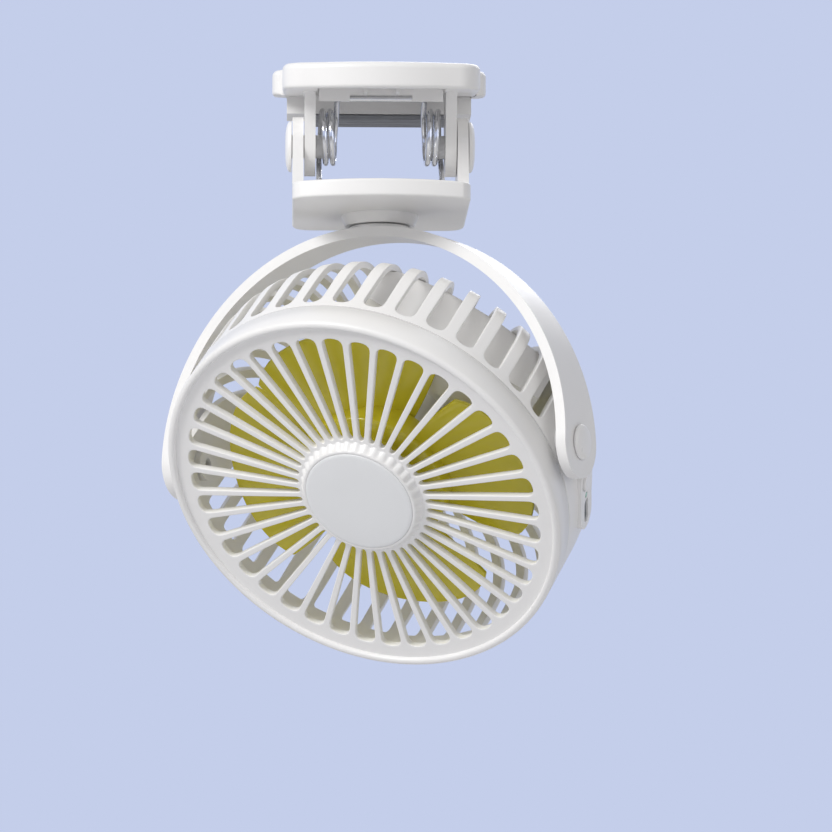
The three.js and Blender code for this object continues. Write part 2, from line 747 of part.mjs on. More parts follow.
// One grille slot as an outline: narrow by the hub, round at the rim.
function slotOutline(angle) {
  const wide = SLOT_WIDE / 2;
  const turn = rad(angle);
  const points = [
    [-SLOT_NARROW / 2, SLOT_INNER],
    [SLOT_NARROW / 2, SLOT_INNER],
  ];
  for (let i = 0; i <= 6; i++) {
    const a = (i * Math.PI) / 6;
    points.push([wide * Math.cos(a), SLOT_OUTER - wide + wide * Math.sin(a)]);
  }
  return points.map(
    ([x, r]) =>
      new THREE.Vector2(
        x * Math.cos(turn) + r * Math.sin(turn),
        -x * Math.sin(turn) + r * Math.cos(turn),
      ),
  );
}

function frontGrille() {
  const disc = new THREE.Shape();
  disc.absarc(0, 0, HEAD_RADIUS - 4, 0, 2 * Math.PI, false);
  for (let i = 0; i < SLOTS; i++) {
    disc.holes.push(new THREE.Path(slotOutline((i * 360) / SLOTS)));
  }
  const plateGeometry = new THREE.ExtrudeGeometry(disc, {
    depth: GRILLE_DEPTH,
    bevelEnabled: false,
    curveSegments: HEAD_SIDES / 2,
  });
  const back = GRILLE_FACE - GRILLE_DEPTH;
  let body = solid(plateGeometry.translate(0, 0, back).rotateX(Math.PI / 2));
  const r = HEAD_RADIUS;
  const rim = turned([
    [r - WALL, PARTING],
    [r, PARTING],
    [r, FRONT_FACE - RIM_ROUND],
    [r - 0.3 * RIM_ROUND, FRONT_FACE - 0.3 * RIM_ROUND],
    [r - RIM_ROUND, FRONT_FACE],
    [r - RIM_ROUND - 1.2, FRONT_FACE - 0.3],
    [r - RIM_ROUND - 2, FRONT_FACE - 1],
    [r - RIM_ROUND - 2.4, GRILLE_FACE],
    [r - RIM_ROUND - 2.4, back],
    [r - WALL - 1.6, back - 1],
    [r - WALL - 1.6, PARTING - LIP],
    [r - WALL - GAP, PARTING - LIP],
    [r - WALL - GAP, PARTING],
    [r - WALL, PARTING],
  ]);
  body = body.add(rim);
  const hub = turned(
    [
      [0, back - 1.2],
      [HUB_RING - 3, back - 1.2],
      [HUB_RING, back],
      [HUB_RING + 0.5, GRILLE_FACE - 0.6],
      [HUB_DISC + 1.3, HUB_FACE - 0.5],
      [HUB_DISC + 0.9, HUB_FACE - 0.2],
      [HUB_DISC + GAP, HUB_FACE - 0.2],
      [HUB_DISC + GAP, HUB_SEAT],
      [0, HUB_SEAT],
    ],
    HEAD_SIDES,
  );
  return body.add(hub);
}

function hubDisc() {
  return turned(
    [
      [0, HUB_SEAT + GAP],
      [HUB_DISC, HUB_SEAT + GAP],
      [HUB_DISC, HUB_FACE - 0.4],
      [HUB_DISC - 0.6, HUB_FACE + 0.2],
      [0, HUB_FACE + 0.2],
    ],
    48,
  );
}

// The housing's wall in section, at a given distance inside its outer surface.
function housingArc(inset) {
  const centre = [HEAD_RADIUS - REAR_ROUND, BACK_FACE + REAR_ROUND];
  const r = REAR_ROUND - inset;
  const points = [];
  for (let i = 0; i <= 4; i++) {
    const a = rad(22.5 * i);
    points.push([centre[0] + r * Math.cos(a), centre[1] - r * Math.sin(a)]);
  }
  return points;
}

function sideSlot() {
  const slope = (SIDE_SLOT_WIDE - SIDE_SLOT_NARROW) / (HEAD_RADIUS - SIDE_SLOT_INNER) / 2;
  const far = HEAD_RADIUS + 3 * WALL;
  const farHalf = SIDE_SLOT_WIDE / 2 + slope * (far - HEAD_RADIUS);
  const shape = new THREE.Shape();
  shape.moveTo(farHalf, far);
  shape.lineTo(-farHalf, far);
  shape.lineTo(-SIDE_SLOT_NARROW / 2, SIDE_SLOT_INNER);
  shape.absarc(0, SIDE_SLOT_INNER, SIDE_SLOT_NARROW / 2, Math.PI, 2 * Math.PI, false);
  shape.closePath();
  const end = SIDE_SLOT_FRONT - SIDE_SLOT_WIDE / 2;
  const run = alongHead(shape, BACK_FACE - 1, end);
  const round = rodZ(SIDE_SLOT_WIDE / 2, HEAD_RADIUS - 4 * WALL, far, 0, 0, 12);
  return run.add(round.translate([0, -end, 0]));
}

function closed(angle) {
  const inRange = ([low, high]) => angle >= low && angle <= high;
  return inRange(CLOSED_RIGHT) || inRange(CLOSED_LEFT);
}

function rearHousing() {
  const outer = housingArc(0);
  const inner = housingArc(WALL);
  const profile = [
    [HEAD_RADIUS - WALL, PARTING - GAP],
    [HEAD_RADIUS, PARTING - GAP],
    ...outer,
    [0, BACK_FACE],
    [0, BACK_FACE + WALL],
    ...inner.reverse(),
    [HEAD_RADIUS - WALL, PARTING - GAP],
  ];
  let body = turned(profile);
  const cuts = [];
  for (let i = 0; i < SLOTS; i++) {
    const angle = (i * 360) / SLOTS;
    if (!closed(angle)) cuts.push(clockwise(sideSlot(), angle));
  }
  body = body.subtract(wasm.Manifold.union(cuts));
  const boss = () => rodX(PIVOT_BOSS_RADIUS, HEAD_RADIUS - 7, BOSS_FACE, 0, HEAD_DROP);
  const bore = () =>
    rodX(PIVOT_SCREW_RADIUS + SCREW_SLACK, HEAD_RADIUS - 8, BOSS_FACE + 1, 0, HEAD_DROP, 16);
  body = body.add(bothSides(boss)).subtract(bothSides(bore));
  const seat = panelShape(PANEL_LENGTH / 2 + GAP, PANEL_WIDTH / 2 + GAP);
  return body.subtract(onSide(seat, HEAD_RADIUS - WALL - 3, HEAD_RADIUS + 2));
}

// ---- control panel ----

// A lozenge with round ends. Its length runs round the head.
function panelShape(halfLength, halfWidth) {
  const straight = halfLength - halfWidth;
  const shape = new THREE.Shape();
  shape.moveTo(straight, -halfWidth);
  shape.absarc(straight, 0, halfWidth, -Math.PI / 2, Math.PI / 2, false);
  shape.absarc(-straight, 0, halfWidth, Math.PI / 2, (3 * Math.PI) / 2, false);
  shape.closePath();
  return shape;
}

// Carries an outline out from the head's axis, between two radii, at the panel's place.
// In the outline, x runs anticlockwise round the head and y runs forward.
function onSide(shape, from, to) {
  const made = new THREE.ExtrudeGeometry(shape, {
    depth: to - from,
    bevelEnabled: false,
    curveSegments: 8,
  });
  made.translate(0, PANEL_MIDDLE, from);
  made.rotateZ(Math.PI);
  return clockwise(solid(made), PANEL_ANGLE);
}

function disc(radius, x) {
  const shape = new THREE.Shape();
  shape.absarc(x, 0, radius, 0, 2 * Math.PI, false);
  return shape;
}

function rectangle(x, halfLength, halfWidth) {
  const shape = new THREE.Shape();
  shape.moveTo(x - halfLength, -halfWidth);
  shape.lineTo(x + halfLength, -halfWidth);
  shape.lineTo(x + halfLength, halfWidth);
  shape.lineTo(x - halfLength, halfWidth);
  shape.closePath();
  return shape;
}

const PANEL_FACE = HEAD_RADIUS + PANEL_PROUD;
const BUTTON_FACE = PANEL_FACE + BUTTON_PROUD;
const PANEL_BACK = HEAD_RADIUS - WALL - 0.6;

function controlPanel() {
  const shape = panelShape(PANEL_LENGTH / 2, PANEL_WIDTH / 2);
  let body = onSide(shape, PANEL_BACK, PANEL_FACE);
  for (const side of [-1, 1]) {
    const leg = rectangle(side * BOARD_LEG, 0.6, 2);
    body = body.add(onSide(leg, BOARD_OUT + GAP, PANEL_BACK + 0.5));
  }
  const low = PANEL_BACK - 1;
  const high = PANEL_FACE + 1;
  const buttonHole = onSide(disc(BUTTON_RADIUS + GAP, BUTTON_SHIFT), low, high);
  const inlet = onSide(
    panelShape(SOCKET_WIDTH / 2 + GAP, SOCKET_HIGH / 2 + GAP),
    low,
    high,
  );
  const inletTurn = alongRim(inlet, SOCKET_SHIFT);
  const lightHole = onSide(disc(LIGHT_RADIUS + GAP, 0.6), low, high);
  return body.subtract(buttonHole).subtract(inletTurn).subtract(lightHole);
}

// Slides a body at the panel along the flat it is drawn on.
function alongRim(body, distance) {
  const a = rad(PANEL_ANGLE);
  return body.translate([-distance * Math.cos(a), 0, distance * Math.sin(a)]);
}

function powerButton() {
  const cap = onSide(disc(BUTTON_RADIUS, BUTTON_SHIFT), PANEL_BACK + 0.6, BUTTON_FACE);
  const flange = onSide(disc(BUTTON_RADIUS + 0.8, BUTTON_SHIFT), PANEL_BACK - 1.6, PANEL_BACK - 1);
  const stem = onSide(disc(1.4, BUTTON_SHIFT), PANEL_BACK - 1.8, PANEL_BACK + 0.8);
  return cap.add(flange).add(stem);
}

const SWITCH_TOP = PANEL_BACK - 1.8 - GAP;

function buttonSwitch() {
  const half = SWITCH_SIDE / 2;
  const body = onSide(rectangle(BUTTON_SHIFT, half, half), BOARD_OUT + GAP, SWITCH_TOP - 1.6);
  return body.add(onSide(disc(1.3, BUTTON_SHIFT), SWITCH_TOP - 2, SWITCH_TOP - 0.8));
}

function chargeSocket() {
  const outer = panelShape(SOCKET_WIDTH / 2, SOCKET_HIGH / 2);
  const inner = panelShape(SOCKET_WIDTH / 2 - 0.5, SOCKET_HIGH / 2 - 0.5);
  const front = PANEL_FACE - 0.6;
  const back = front - SOCKET_DEEP;
  const body = onSide(outer, back, front).subtract(onSide(inner, back + 1, front + 1));
  const tongue = onSide(rectangle(0, 3, 0.35), back + 0.5, front - 0.8);
  return alongRim(body.add(tongue), SOCKET_SHIFT);
}

function chargeLight() {
  return onSide(disc(LIGHT_RADIUS, 0.6), PANEL_FACE - LIGHT_LENGTH, PANEL_FACE);
}

function circuitBoard() {
  const shape = rectangle(0, PANEL_LENGTH / 2 + 2, PANEL_WIDTH / 2 + 1);
  return onSide(shape, BOARD_OUT - BOARD_THICK, BOARD_OUT);
}

// ---- battery ----

function cellPlace(body) {
  return clockwise(body, CELL_ANGLE);
}

function cellMiddle() {
  return BOX_FRONT - BOX_WALL - GAP - CELL_RADIUS;
}

function battery() {
  const half = CELL_LENGTH / 2;
  const can = rodX(CELL_RADIUS, -half, half, -cellMiddle(), CELL_OUT, 32);
  const tipStart = half - 0.2;
  return cellPlace(can.add(rodX(2.8, tipStart, half + 1, -cellMiddle(), CELL_OUT, 16)));
}

// A tray round the cell, open to the back of the housing and trimmed to the housing's round corner.
function batteryBox() {
  const half = CELL_LENGTH / 2 + 1 + GAP + BOX_WALL;
  const reach = CELL_RADIUS + GAP + BOX_WALL;
  const back = BACK_FACE + WALL + GAP;
  const y = [-BOX_FRONT, -back];
  let body = box([-half, half], y, [CELL_OUT - reach, CELL_OUT + reach]);
  const inside = [-BOX_FRONT + BOX_WALL, -back + 1];
  const room = half - BOX_WALL;
  const deep = reach - BOX_WALL;
  body = body.subtract(box([-room, room], inside, [CELL_OUT - deep, CELL_OUT + deep]));
  const keep = turned([
    [0, 0],
    [HEAD_RADIUS - WALL - 2, 0],
    ...housingArc(WALL + GAP),
    [0, back],
  ]);
  return cellPlace(body).intersect(keep);
}

// ---- motor and impeller ----

function motorCan() {
  const back = MOTOR_FRONT - MOTOR_LENGTH;
  return turned(
    [
      [0, back],
      [MOTOR_RADIUS - 1, back],
      [MOTOR_RADIUS, back + 1],
      [MOTOR_RADIUS, MOTOR_FRONT - 1],
      [MOTOR_RADIUS - 1, MOTOR_FRONT],
      [3.2, MOTOR_FRONT],
      [3.2, MOTOR_FRONT + 1.2],
      [SHAFT_RADIUS + GAP, MOTOR_FRONT + 1.2],
      [SHAFT_RADIUS + GAP, MOTOR_FRONT - 6],
      [0, MOTOR_FRONT - 6],
    ],
    24,
  );
}

function motorHolder() {
  const back = BACK_FACE + WALL + GAP;
  const inner = MOTOR_RADIUS + GAP;
  const floor = MOTOR_FRONT - MOTOR_LENGTH - GAP;
  const body = turned(
    [
      [0, back],
      [inner + HOLDER_WALL + 5, back],
      [inner + HOLDER_WALL + 5, back + 2],
      [inner + HOLDER_WALL, back + 2],
      [inner + HOLDER_WALL, MOTOR_FRONT - 4],
      [inner, MOTOR_FRONT - 4],
      [inner, floor],
      [0, floor],
    ],
    24,
  );
  return body;
}

const BUSH_FRONT = IMPELLER_FRONT - IMPELLER_WALL - 1.2;
const BUSH_BACK = BUSH_FRONT - BUSH_LENGTH;

function motorShaft() {
  const deep = MOTOR_FRONT - 6 + GAP;
  return turned(
    [
      [0, deep],
      [SHAFT_RADIUS, deep],
      [SHAFT_RADIUS, BUSH_FRONT - GAP],
      [0, BUSH_FRONT - GAP],
    ],
    16,
  );
}

function shaftBush() {
  const hole = SHAFT_RADIUS + GAP;
  return turned(
    [
      [hole, BUSH_BACK],
      [BUSH_RADIUS, BUSH_BACK],
      [BUSH_RADIUS, BUSH_FRONT - GAP],
      [hole, BUSH_FRONT - GAP],
      [hole, BUSH_BACK],
    ],
    16,
  );
}

// One blade: a thin box bent round the axis and sloped along it.
function blade(angle) {
  const root = IMPELLER_HUB - 1.4;
  const made = new THREE.BoxGeometry(1, 1, BLADE_THICK, 7, 3, 1);
  const place = made.attributes.position;
  for (let i = 0; i < place.count; i++) {
    const across = place.getX(i) * 2;
    const out = place.getY(i) + 0.5;
    const rounding = 1 - Math.abs(across) ** 4 * 0.09;
    const r = root + (BLADE_TIP * rounding - root) * out;
    const spread = BLADE_SPAN * (0.86 + 0.14 * out);
    const a = rad((across * spread) / 2);
    const forward = BLADE_MIDDLE + (across * BLADE_RISE) / 2 + place.getZ(i);
    place.setXYZ(i, r * Math.sin(a), -forward, r * Math.cos(a));
  }
  return clockwise(solid(made), angle);
}

function impeller() {
  const cup = turned(
    [
      [BUSH_RADIUS + GAP, BUSH_BACK],
      [BUSH_RADIUS + 2, BUSH_BACK],
      [BUSH_RADIUS + 2, IMPELLER_FRONT - IMPELLER_WALL - 0.6],
      [IMPELLER_STEP - IMPELLER_WALL, IMPELLER_FRONT - IMPELLER_WALL - 1.6],
      [IMPELLER_STEP - IMPELLER_WALL, IMPELLER_FRONT - IMPELLER_WALL - 4],
      [IMPELLER_HUB - IMPELLER_WALL, IMPELLER_FRONT - IMPELLER_WALL - 5],
      [IMPELLER_HUB - IMPELLER_WALL, IMPELLER_BACK],
      [IMPELLER_HUB, IMPELLER_BACK],
      [IMPELLER_HUB, IMPELLER_FRONT - 4.6],
      [IMPELLER_HUB - 1, IMPELLER_FRONT - 3.8],
      [IMPELLER_STEP, IMPELLER_FRONT - 3.2],
      [IMPELLER_STEP, IMPELLER_FRONT - 1.6],
      [IMPELLER_STEP - 1.2, IMPELLER_FRONT - 0.7],
      [IMPELLER_STEP - 8, IMPELLER_FRONT],
      [0, IMPELLER_FRONT],
      [0, BUSH_FRONT],
      [BUSH_RADIUS + GAP, BUSH_FRONT],
      [BUSH_RADIUS + GAP, BUSH_BACK],
    ],
    48,
  );
  const blades = [];
  for (let i = 0; i < BLADES; i++) blades.push(blade((i * 360) / BLADES));
  const inside = turned(
    [
      [0, IMPELLER_BACK - HUB_HOLLOW],
      [IMPELLER_HUB - IMPELLER_WALL, IMPELLER_BACK - HUB_HOLLOW],
      [IMPELLER_HUB - IMPELLER_WALL, IMPELLER_FRONT - IMPELLER_WALL - 5],
      [0, IMPELLER_FRONT - IMPELLER_WALL - 5],
    ],
    48,
  );
  return wasm.Manifold.union(blades).subtract(inside).add(cup);
}

// ================= the whole =================

const upper = group(
  "upper_clamp_group",
  mesh("upper_jaw", upperClamp(), plastic(WHITE)),
  mesh("upper_jaw_pad", upperPad(), plastic(0xc9ccd2, 0.85)),
);

const lower = group(
  "lower_clamp_group",
  mesh("lower_jaw", lowerClamp(), plastic(WHITE)),
  mesh("lower_jaw_pad", lowerPad(), plastic(0xc9ccd2, 0.85)),
  mesh("clamp_pin_right", clampPin(), plastic(WHITE, 0.4)),
  mesh("clamp_pin_left", mirrored(clampPin()), plastic(WHITE, 0.4)),
  mesh("clamp_spring", spring(), metal(0xc8cacd)),
);

const swivelTop = group(
  "swivel_fixings",
  mesh("swivel_washer", swivelWasher(), plastic(0xe2e2df, 0.6)),
  mesh("swivel_screw", swivelScrew(), metal(0xb9bbbf)),
);

const impellerGroup = group(
  "impeller_group",
  mesh("impeller", impeller(), plastic(0xa9a13a, 0.35)),
  mesh("shaft_bush", shaftBush(), metal(0xc9a95a)),
  mesh("motor_shaft", motorShaft(), metal(0xc4c6ca)),
);

const head = group(
  "head_group",
  mesh("front_grille", frontGrille(), plastic(WHITE)),
  mesh("hub_disc", hubDisc(), plastic(0xd9d9e2)),
  mesh("rear_housing", rearHousing(), plastic(WHITE)),
  mesh("control_panel", controlPanel(), plastic(0xe9e9ec, 0.35)),
  mesh("power_button", powerButton(), plastic(0xe4e4e8, 0.4)),
  mesh("button_switch", buttonSwitch(), plastic(0x2a2a2c, 0.5)),
  mesh("charge_socket", chargeSocket(), metal(0xbfc1c5)),
  mesh("charge_light", chargeLight(), plastic(0xdfeee4, 0.2)),
  mesh("circuit_board", circuitBoard(), plastic(0x24603a, 0.5)),
  mesh("battery_box", batteryBox(), plastic(WHITE)),
  mesh("battery", battery(), plastic(0x3f6fb0, 0.4)),
  mesh("motor_can", motorCan(), metal(0xaeb0b4, 0.35)),
  mesh("motor_holder", motorHolder(), plastic(WHITE)),
  impellerGroup,
);
head.position.z = -HEAD_DROP;

const tilting = group("tilting_group", head);
tilting.rotation.x = rad(HEAD_NOD);

const turning = group(
  "turning_group",
  mesh("yoke", yoke(), plastic(WHITE)),
  mesh("pivot_cap_right", pivotCap(), plastic(WHITE, 0.4)),
  mesh("pivot_cap_left", mirrored(pivotCap()), plastic(WHITE, 0.4)),
  mesh("pivot_screw_right", pivotScrew(), metal(0xb9bbbf)),
  mesh("pivot_screw_left", mirrored(pivotScrew()), metal(0xb9bbbf)),
  mesh("pivot_washer_right", pivotWasher(), plastic(0xd8d8d4, 0.6)),
  mesh("pivot_washer_left", mirrored(pivotWasher()), plastic(0xd8d8d4, 0.6)),
  tilting,
);
turning.position.y = -YOKE_FORWARD;

const onSwivel = group("swivel_group", turning);
onSwivel.position.set(0, SWIVEL_BACK, PIVOT_HEIGHT);
onSwivel.rotation.z = -rad(HEAD_TURN);

const whole = group("clip_fan", upper, lower, swivelTop, onSwivel);
whole.position.set(0, -HINGE_BACK, HINGE_UP);
const root = group("part", whole);

export default root;
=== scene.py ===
import math

import bmesh
import bpy
from mathutils import Matrix, Vector


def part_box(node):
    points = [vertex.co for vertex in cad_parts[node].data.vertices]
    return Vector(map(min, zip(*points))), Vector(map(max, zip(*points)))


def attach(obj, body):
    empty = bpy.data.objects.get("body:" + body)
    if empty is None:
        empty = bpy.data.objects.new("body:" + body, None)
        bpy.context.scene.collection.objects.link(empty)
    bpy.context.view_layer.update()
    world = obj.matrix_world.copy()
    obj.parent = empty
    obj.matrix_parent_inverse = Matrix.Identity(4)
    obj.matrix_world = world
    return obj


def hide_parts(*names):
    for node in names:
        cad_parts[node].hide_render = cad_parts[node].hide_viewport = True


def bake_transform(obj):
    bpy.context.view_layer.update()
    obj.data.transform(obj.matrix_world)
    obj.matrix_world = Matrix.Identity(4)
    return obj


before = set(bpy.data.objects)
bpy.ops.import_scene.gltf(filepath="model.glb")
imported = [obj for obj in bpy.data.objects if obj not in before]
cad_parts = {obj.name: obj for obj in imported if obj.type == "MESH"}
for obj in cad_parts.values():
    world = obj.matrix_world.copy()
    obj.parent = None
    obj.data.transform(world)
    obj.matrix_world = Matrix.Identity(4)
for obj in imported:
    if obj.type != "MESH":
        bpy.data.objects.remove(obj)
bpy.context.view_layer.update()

# ---- lower clamp plate ----
# Injection-moulded white plastic: a plate under the shelf with two outer ears for the hinge pins
# and a round socket below it. The mould leaves soft edges and a very fine satin skin.

MM = 0.001
WELD_GAP = 0.000002
SHARP_ANGLE = math.radians(32)
CLOUD_LOW, CLOUD_HIGH = 0.3, 0.7
COAT_ROUGHNESS = 0.12
GRAIN_STRENGTH = 0.35


def linear(red, green, blue):
    """A colour given as 0 to 255 per channel, in the linear values that the nodes take."""
    shares = [channel / 255 for channel in (red, green, blue)]
    return [((s + 0.055) / 1.055) ** 2.4 if s > 0.04 else s / 12.92 for s in shares] + [1.0]


def shades(name, colour, drift, rough, rough_drift, patch, grain, depth, metallic=0.0, sheen=0.0):
    """A surface with slow drifts of colour and gloss and a fine grain.

    drift and rough_drift say how far colour and roughness wander over patches of a size, and
    grain and depth the width and height of the specks. Those sizes are in millimetres.
    """
    made = bpy.data.materials.new(name)
    made.use_nodes = True
    nodes, links = made.node_tree.nodes, made.node_tree.links
    shader = nodes["Principled BSDF"]
    shader.inputs["Metallic"].default_value = metallic
    shader.inputs["Coat Weight"].default_value = sheen
    shader.inputs["Coat Roughness"].default_value = COAT_ROUGHNESS
    place = nodes.new("ShaderNodeTexCoord")
    cloud = nodes.new("ShaderNodeTexNoise")
    cloud.inputs["Scale"].default_value = 1 / (patch * MM)
    cloud.inputs["Detail"].default_value = 4
    links.new(place.outputs["Object"], cloud.inputs["Vector"])
    tone = nodes.new("ShaderNodeValToRGB")
    tone.color_ramp.elements[0].position = CLOUD_LOW
    tone.color_ramp.elements[1].position = CLOUD_HIGH
    tone.color_ramp.elements[0].color = [c * (1 - drift) for c in colour[:3]] + [1]
    tone.color_ramp.elements[1].color = colour
    links.new(cloud.outputs["Fac"], tone.inputs["Fac"])
    links.new(tone.outputs["Color"], shader.inputs["Base Color"])
    speck = nodes.new("ShaderNodeTexNoise")
    speck.inputs["Scale"].default_value = 1 / (grain * MM)
    speck.inputs["Detail"].default_value = 3
    links.new(place.outputs["Object"], speck.inputs["Vector"])
    gloss = nodes.new("ShaderNodeMapRange")
    gloss.inputs["From Min"].default_value = CLOUD_LOW
    gloss.inputs["From Max"].default_value = CLOUD_HIGH
    gloss.inputs["To Min"].default_value = rough - rough_drift
    gloss.inputs["To Max"].default_value = rough + rough_drift
    links.new(cloud.outputs["Fac"], gloss.inputs["Value"])
    links.new(gloss.outputs["Result"], shader.inputs["Roughness"])
    bump = nodes.new("ShaderNodeBump")
    bump.inputs["Strength"].default_value = GRAIN_STRENGTH
    bump.inputs["Distance"].default_value = depth * MM
    links.new(speck.outputs["Fac"], bump.inputs["Height"])
    links.new(bump.outputs["Normal"], shader.inputs["Normal"])
    return made


def only(piece):
    """Selects one piece and makes it the one that the next operators work on."""
    bpy.ops.object.select_all(action="DESELECT")
    piece.select_set(True)
    bpy.context.view_layer.objects.active = piece


def modify(piece, kind, **settings):
    """Adds a modifier and applies it."""
    only(piece)
    added = piece.modifiers.new(kind.lower(), kind)
    for key, value in settings.items():
        setattr(added, key, value)
    bpy.ops.object.modifier_apply(modifier=added.name)


def ease(piece, chosen, width):
    """Rounds the edges that a test picks, by a width in millimetres."""
    only(piece)
    bpy.ops.object.mode_set(mode="EDIT")
    bpy.ops.mesh.select_mode(type="EDGE")
    bpy.ops.mesh.select_all(action="DESELECT")
    drawn = bmesh.from_edit_mesh(piece.data)
    for edge in drawn.edges:
        edge.select = len(edge.link_faces) == 2 and chosen(edge)
    bmesh.update_edit_mesh(piece.data)
    bpy.ops.mesh.bevel(offset=width * MM, segments=5, clamp_overlap=False)
    bpy.ops.mesh.select_mode(type="VERT")
    bpy.ops.object.mode_set(mode="OBJECT")


def moulded(node, name, easing, material, body, segments=2, soft=()):
    """A piece from the frame with its edges eased and its round faces shaded smooth.

    easing is the width that all sharp edges get. soft holds tests for edges that are rounded
    more, each with its width. The flat faces are split in between, since a face with many
    corners can fold over itself when its edges are eased.
    """
    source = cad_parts[node]
    piece = source.copy()
    piece.data = source.data.copy()
    piece.name = name
    bpy.context.collection.objects.link(piece)
    piece.parent = None
    piece.matrix_world = source.matrix_world.copy()
    only(piece)
    bpy.ops.object.mode_set(mode="EDIT")
    bpy.ops.mesh.select_all(action="SELECT")
    bpy.ops.mesh.remove_doubles(threshold=WELD_GAP)
    bpy.ops.mesh.dissolve_limited(angle_limit=math.radians(0.6))
    bpy.ops.object.mode_set(mode="OBJECT")
    for chosen, width in soft:
        ease(piece, chosen, width)
    only(piece)
    bpy.ops.object.mode_set(mode="EDIT")
    bpy.ops.mesh.select_all(action="SELECT")
    bpy.ops.mesh.quads_convert_to_tris(quad_method="BEAUTY", ngon_method="BEAUTY")
    bpy.ops.mesh.tris_convert_to_quads(
        face_threshold=math.radians(1), shape_threshold=math.radians(50)
    )
    bpy.ops.object.mode_set(mode="OBJECT")
    modify(
        piece,
        "BEVEL",
        width=easing * MM,
        segments=segments,
        limit_method="ANGLE",
        angle_limit=SHARP_ANGLE,
        use_clamp_overlap=True,
        miter_outer="MITER_ARC",
    )
    bpy.ops.object.shade_smooth_by_angle(angle=SHARP_ANGLE)
    modify(piece, "WEIGHTED_NORMAL", keep_sharp=True)
    piece.data.materials.clear()
    piece.data.materials.append(material)
    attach(piece, body)
    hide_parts(node)
    return piece


white_plastic = shades("white_plastic", linear(241, 240, 239), 0.02, 0.36, 0.04, 18, 0.35, 0.012)
HINGE = Matrix.Translation(Vector((0, -25, 16.2)) * MM)
PLATE_TOP = -17.2
PLATE_THICK = 6
PLATE_CENTRE_Y = 3
OUTLINE_REACH = 26


def outline_edges(height, slope=0.0):
    """A test for the outer edges of a plate at a height above the hinge.

    slope tips the plate about the hinge, in degrees. An outer edge lies at that height,
    between a cap and a side that faces away from the plate's middle, and the ears and bores
    stay nearer to the middle than OUTLINE_REACH.
    """
    level = (HINGE @ Matrix.Rotation(math.radians(slope), 4, "X")).inverted()

    def test(edge):
        ends = [level @ v.co / MM for v in edge.verts]
        if max(abs(e.z - height) for e in ends) > 0.03:
            return False
        away = (ends[0] + ends[1]) / 2 - Vector((0, PLATE_CENTRE_Y, height))
        normals = [level.to_3x3() @ f.normal for f in edge.link_faces]
        sides = [n for n in normals if abs(n.z) < 0.3]
        caps = [n for n in normals if abs(n.z) > 0.9]
        if len(sides) != 1 or len(caps) != 1:
            return False
        return sides[0].dot(away) > 0 and away.length > OUTLINE_REACH

    return test


plate_edges = [(outline_edges(PLATE_TOP), 0.9), (outline_edges(PLATE_TOP - PLATE_THICK), 0.9)]
lower_plate = moulded(
    "lower_jaw", "lower_plate", 0.4, white_plastic, "lower_clamp", 3, soft=plate_edges
)

# ---- upper clamp plate ----
# The thumb plate on top, hollow below, with its two inner ears, the jaw that presses on the shelf
# and the saddle that the spring bears on. Same white plastic, moulded in one.

CLAMP_TILT = 8
TOP_UNDER = 18.5
TOP_THICK = 8.8
thumb_edges = [
    (outline_edges(TOP_UNDER + TOP_THICK, CLAMP_TILT), 2.0),
    (outline_edges(TOP_UNDER, CLAMP_TILT), 1.2),
]
upper_plate = moulded(
    "upper_jaw", "upper_plate", 0.4, white_plastic, "upper_clamp", 3, soft=thumb_edges
)

# ---- grip pads ----
# Two soft grey rubber strips glued into the jaws, with moulded grooves across them.
# Rubber is dull and picks up a little dust.

grip_rubber = shades("grip_rubber", linear(150, 152, 158), 0.12, 0.72, 0.08, 6, 0.2, 0.03)
for node, body in (("lower_jaw_pad", "lower_clamp"), ("upper_jaw_pad", "upper_clamp")):
    moulded(node, node.replace("jaw_pad", "grip"), 0.15, grip_rubber, body)

# ---- hinge pins ----
# Two white plastic pins pushed in from the sides, each with a low domed head that hides the bore.
# The domes are turned shapes with a soft rim.

ALONG_X = Matrix(((0, 0, 1, 0), (1, 0, 0, 0), (0, 1, 0, 0), (0, 0, 0, 1)))
PIN_RADIUS = 4.0
PIN_TIP_IN = 1.6
PIN_DOME_RISE = 2.2


def weld(piece, gap):
    """Joins the points of a piece that lie closer than a gap, in the mesh's own units."""
    only(piece)
    bpy.ops.object.mode_set(mode="EDIT")
    bpy.ops.mesh.select_all(action="SELECT")
    bpy.ops.mesh.remove_doubles(threshold=gap)
    bpy.ops.object.mode_set(mode="OBJECT")


def face_outward(piece):
    """Turns all faces of a piece outward, which a mirrored place makes needed as well."""
    only(piece)
    bpy.ops.object.mode_set(mode="EDIT")
    bpy.ops.mesh.select_all(action="SELECT")
    bpy.ops.mesh.normals_make_consistent(inside=False)
    bpy.ops.object.mode_set(mode="OBJECT")


def turned(name, rings, place, sides=64, hollow=False):
    """A round shape drawn ring by ring along its axis, as (radius, height) in millimetres.

    A hollow one ends on the ring that it starts from, and is joined there.
    """
    bpy.ops.object.select_all(action="DESELECT")
    radius, height = rings[0]
    bpy.ops.mesh.primitive_circle_add(
        vertices=sides,
        radius=radius,
        location=(0, 0, 0),
        fill_type="NOTHING" if hollow else "NGON",
    )
    piece = bpy.context.object
    piece.name = name
    bpy.ops.object.mode_set(mode="EDIT")
    bpy.ops.mesh.select_all(action="SELECT")
    bpy.ops.transform.translate(value=(0, 0, height))
    for next_radius, next_height in rings[1:]:
        rise = next_height - height
        bpy.ops.mesh.extrude_region_move(TRANSFORM_OT_translate={"value": (0, 0, rise)})
        grow = next_radius / radius
        bpy.ops.transform.resize(value=(grow, grow, 1), center_override=(0, 0, next_height))
        radius, height = next_radius, next_height
    bpy.ops.object.mode_set(mode="OBJECT")
    if hollow:
        weld(piece, 0.0005)
    face_outward(piece)
    settle(piece, place)
    return piece


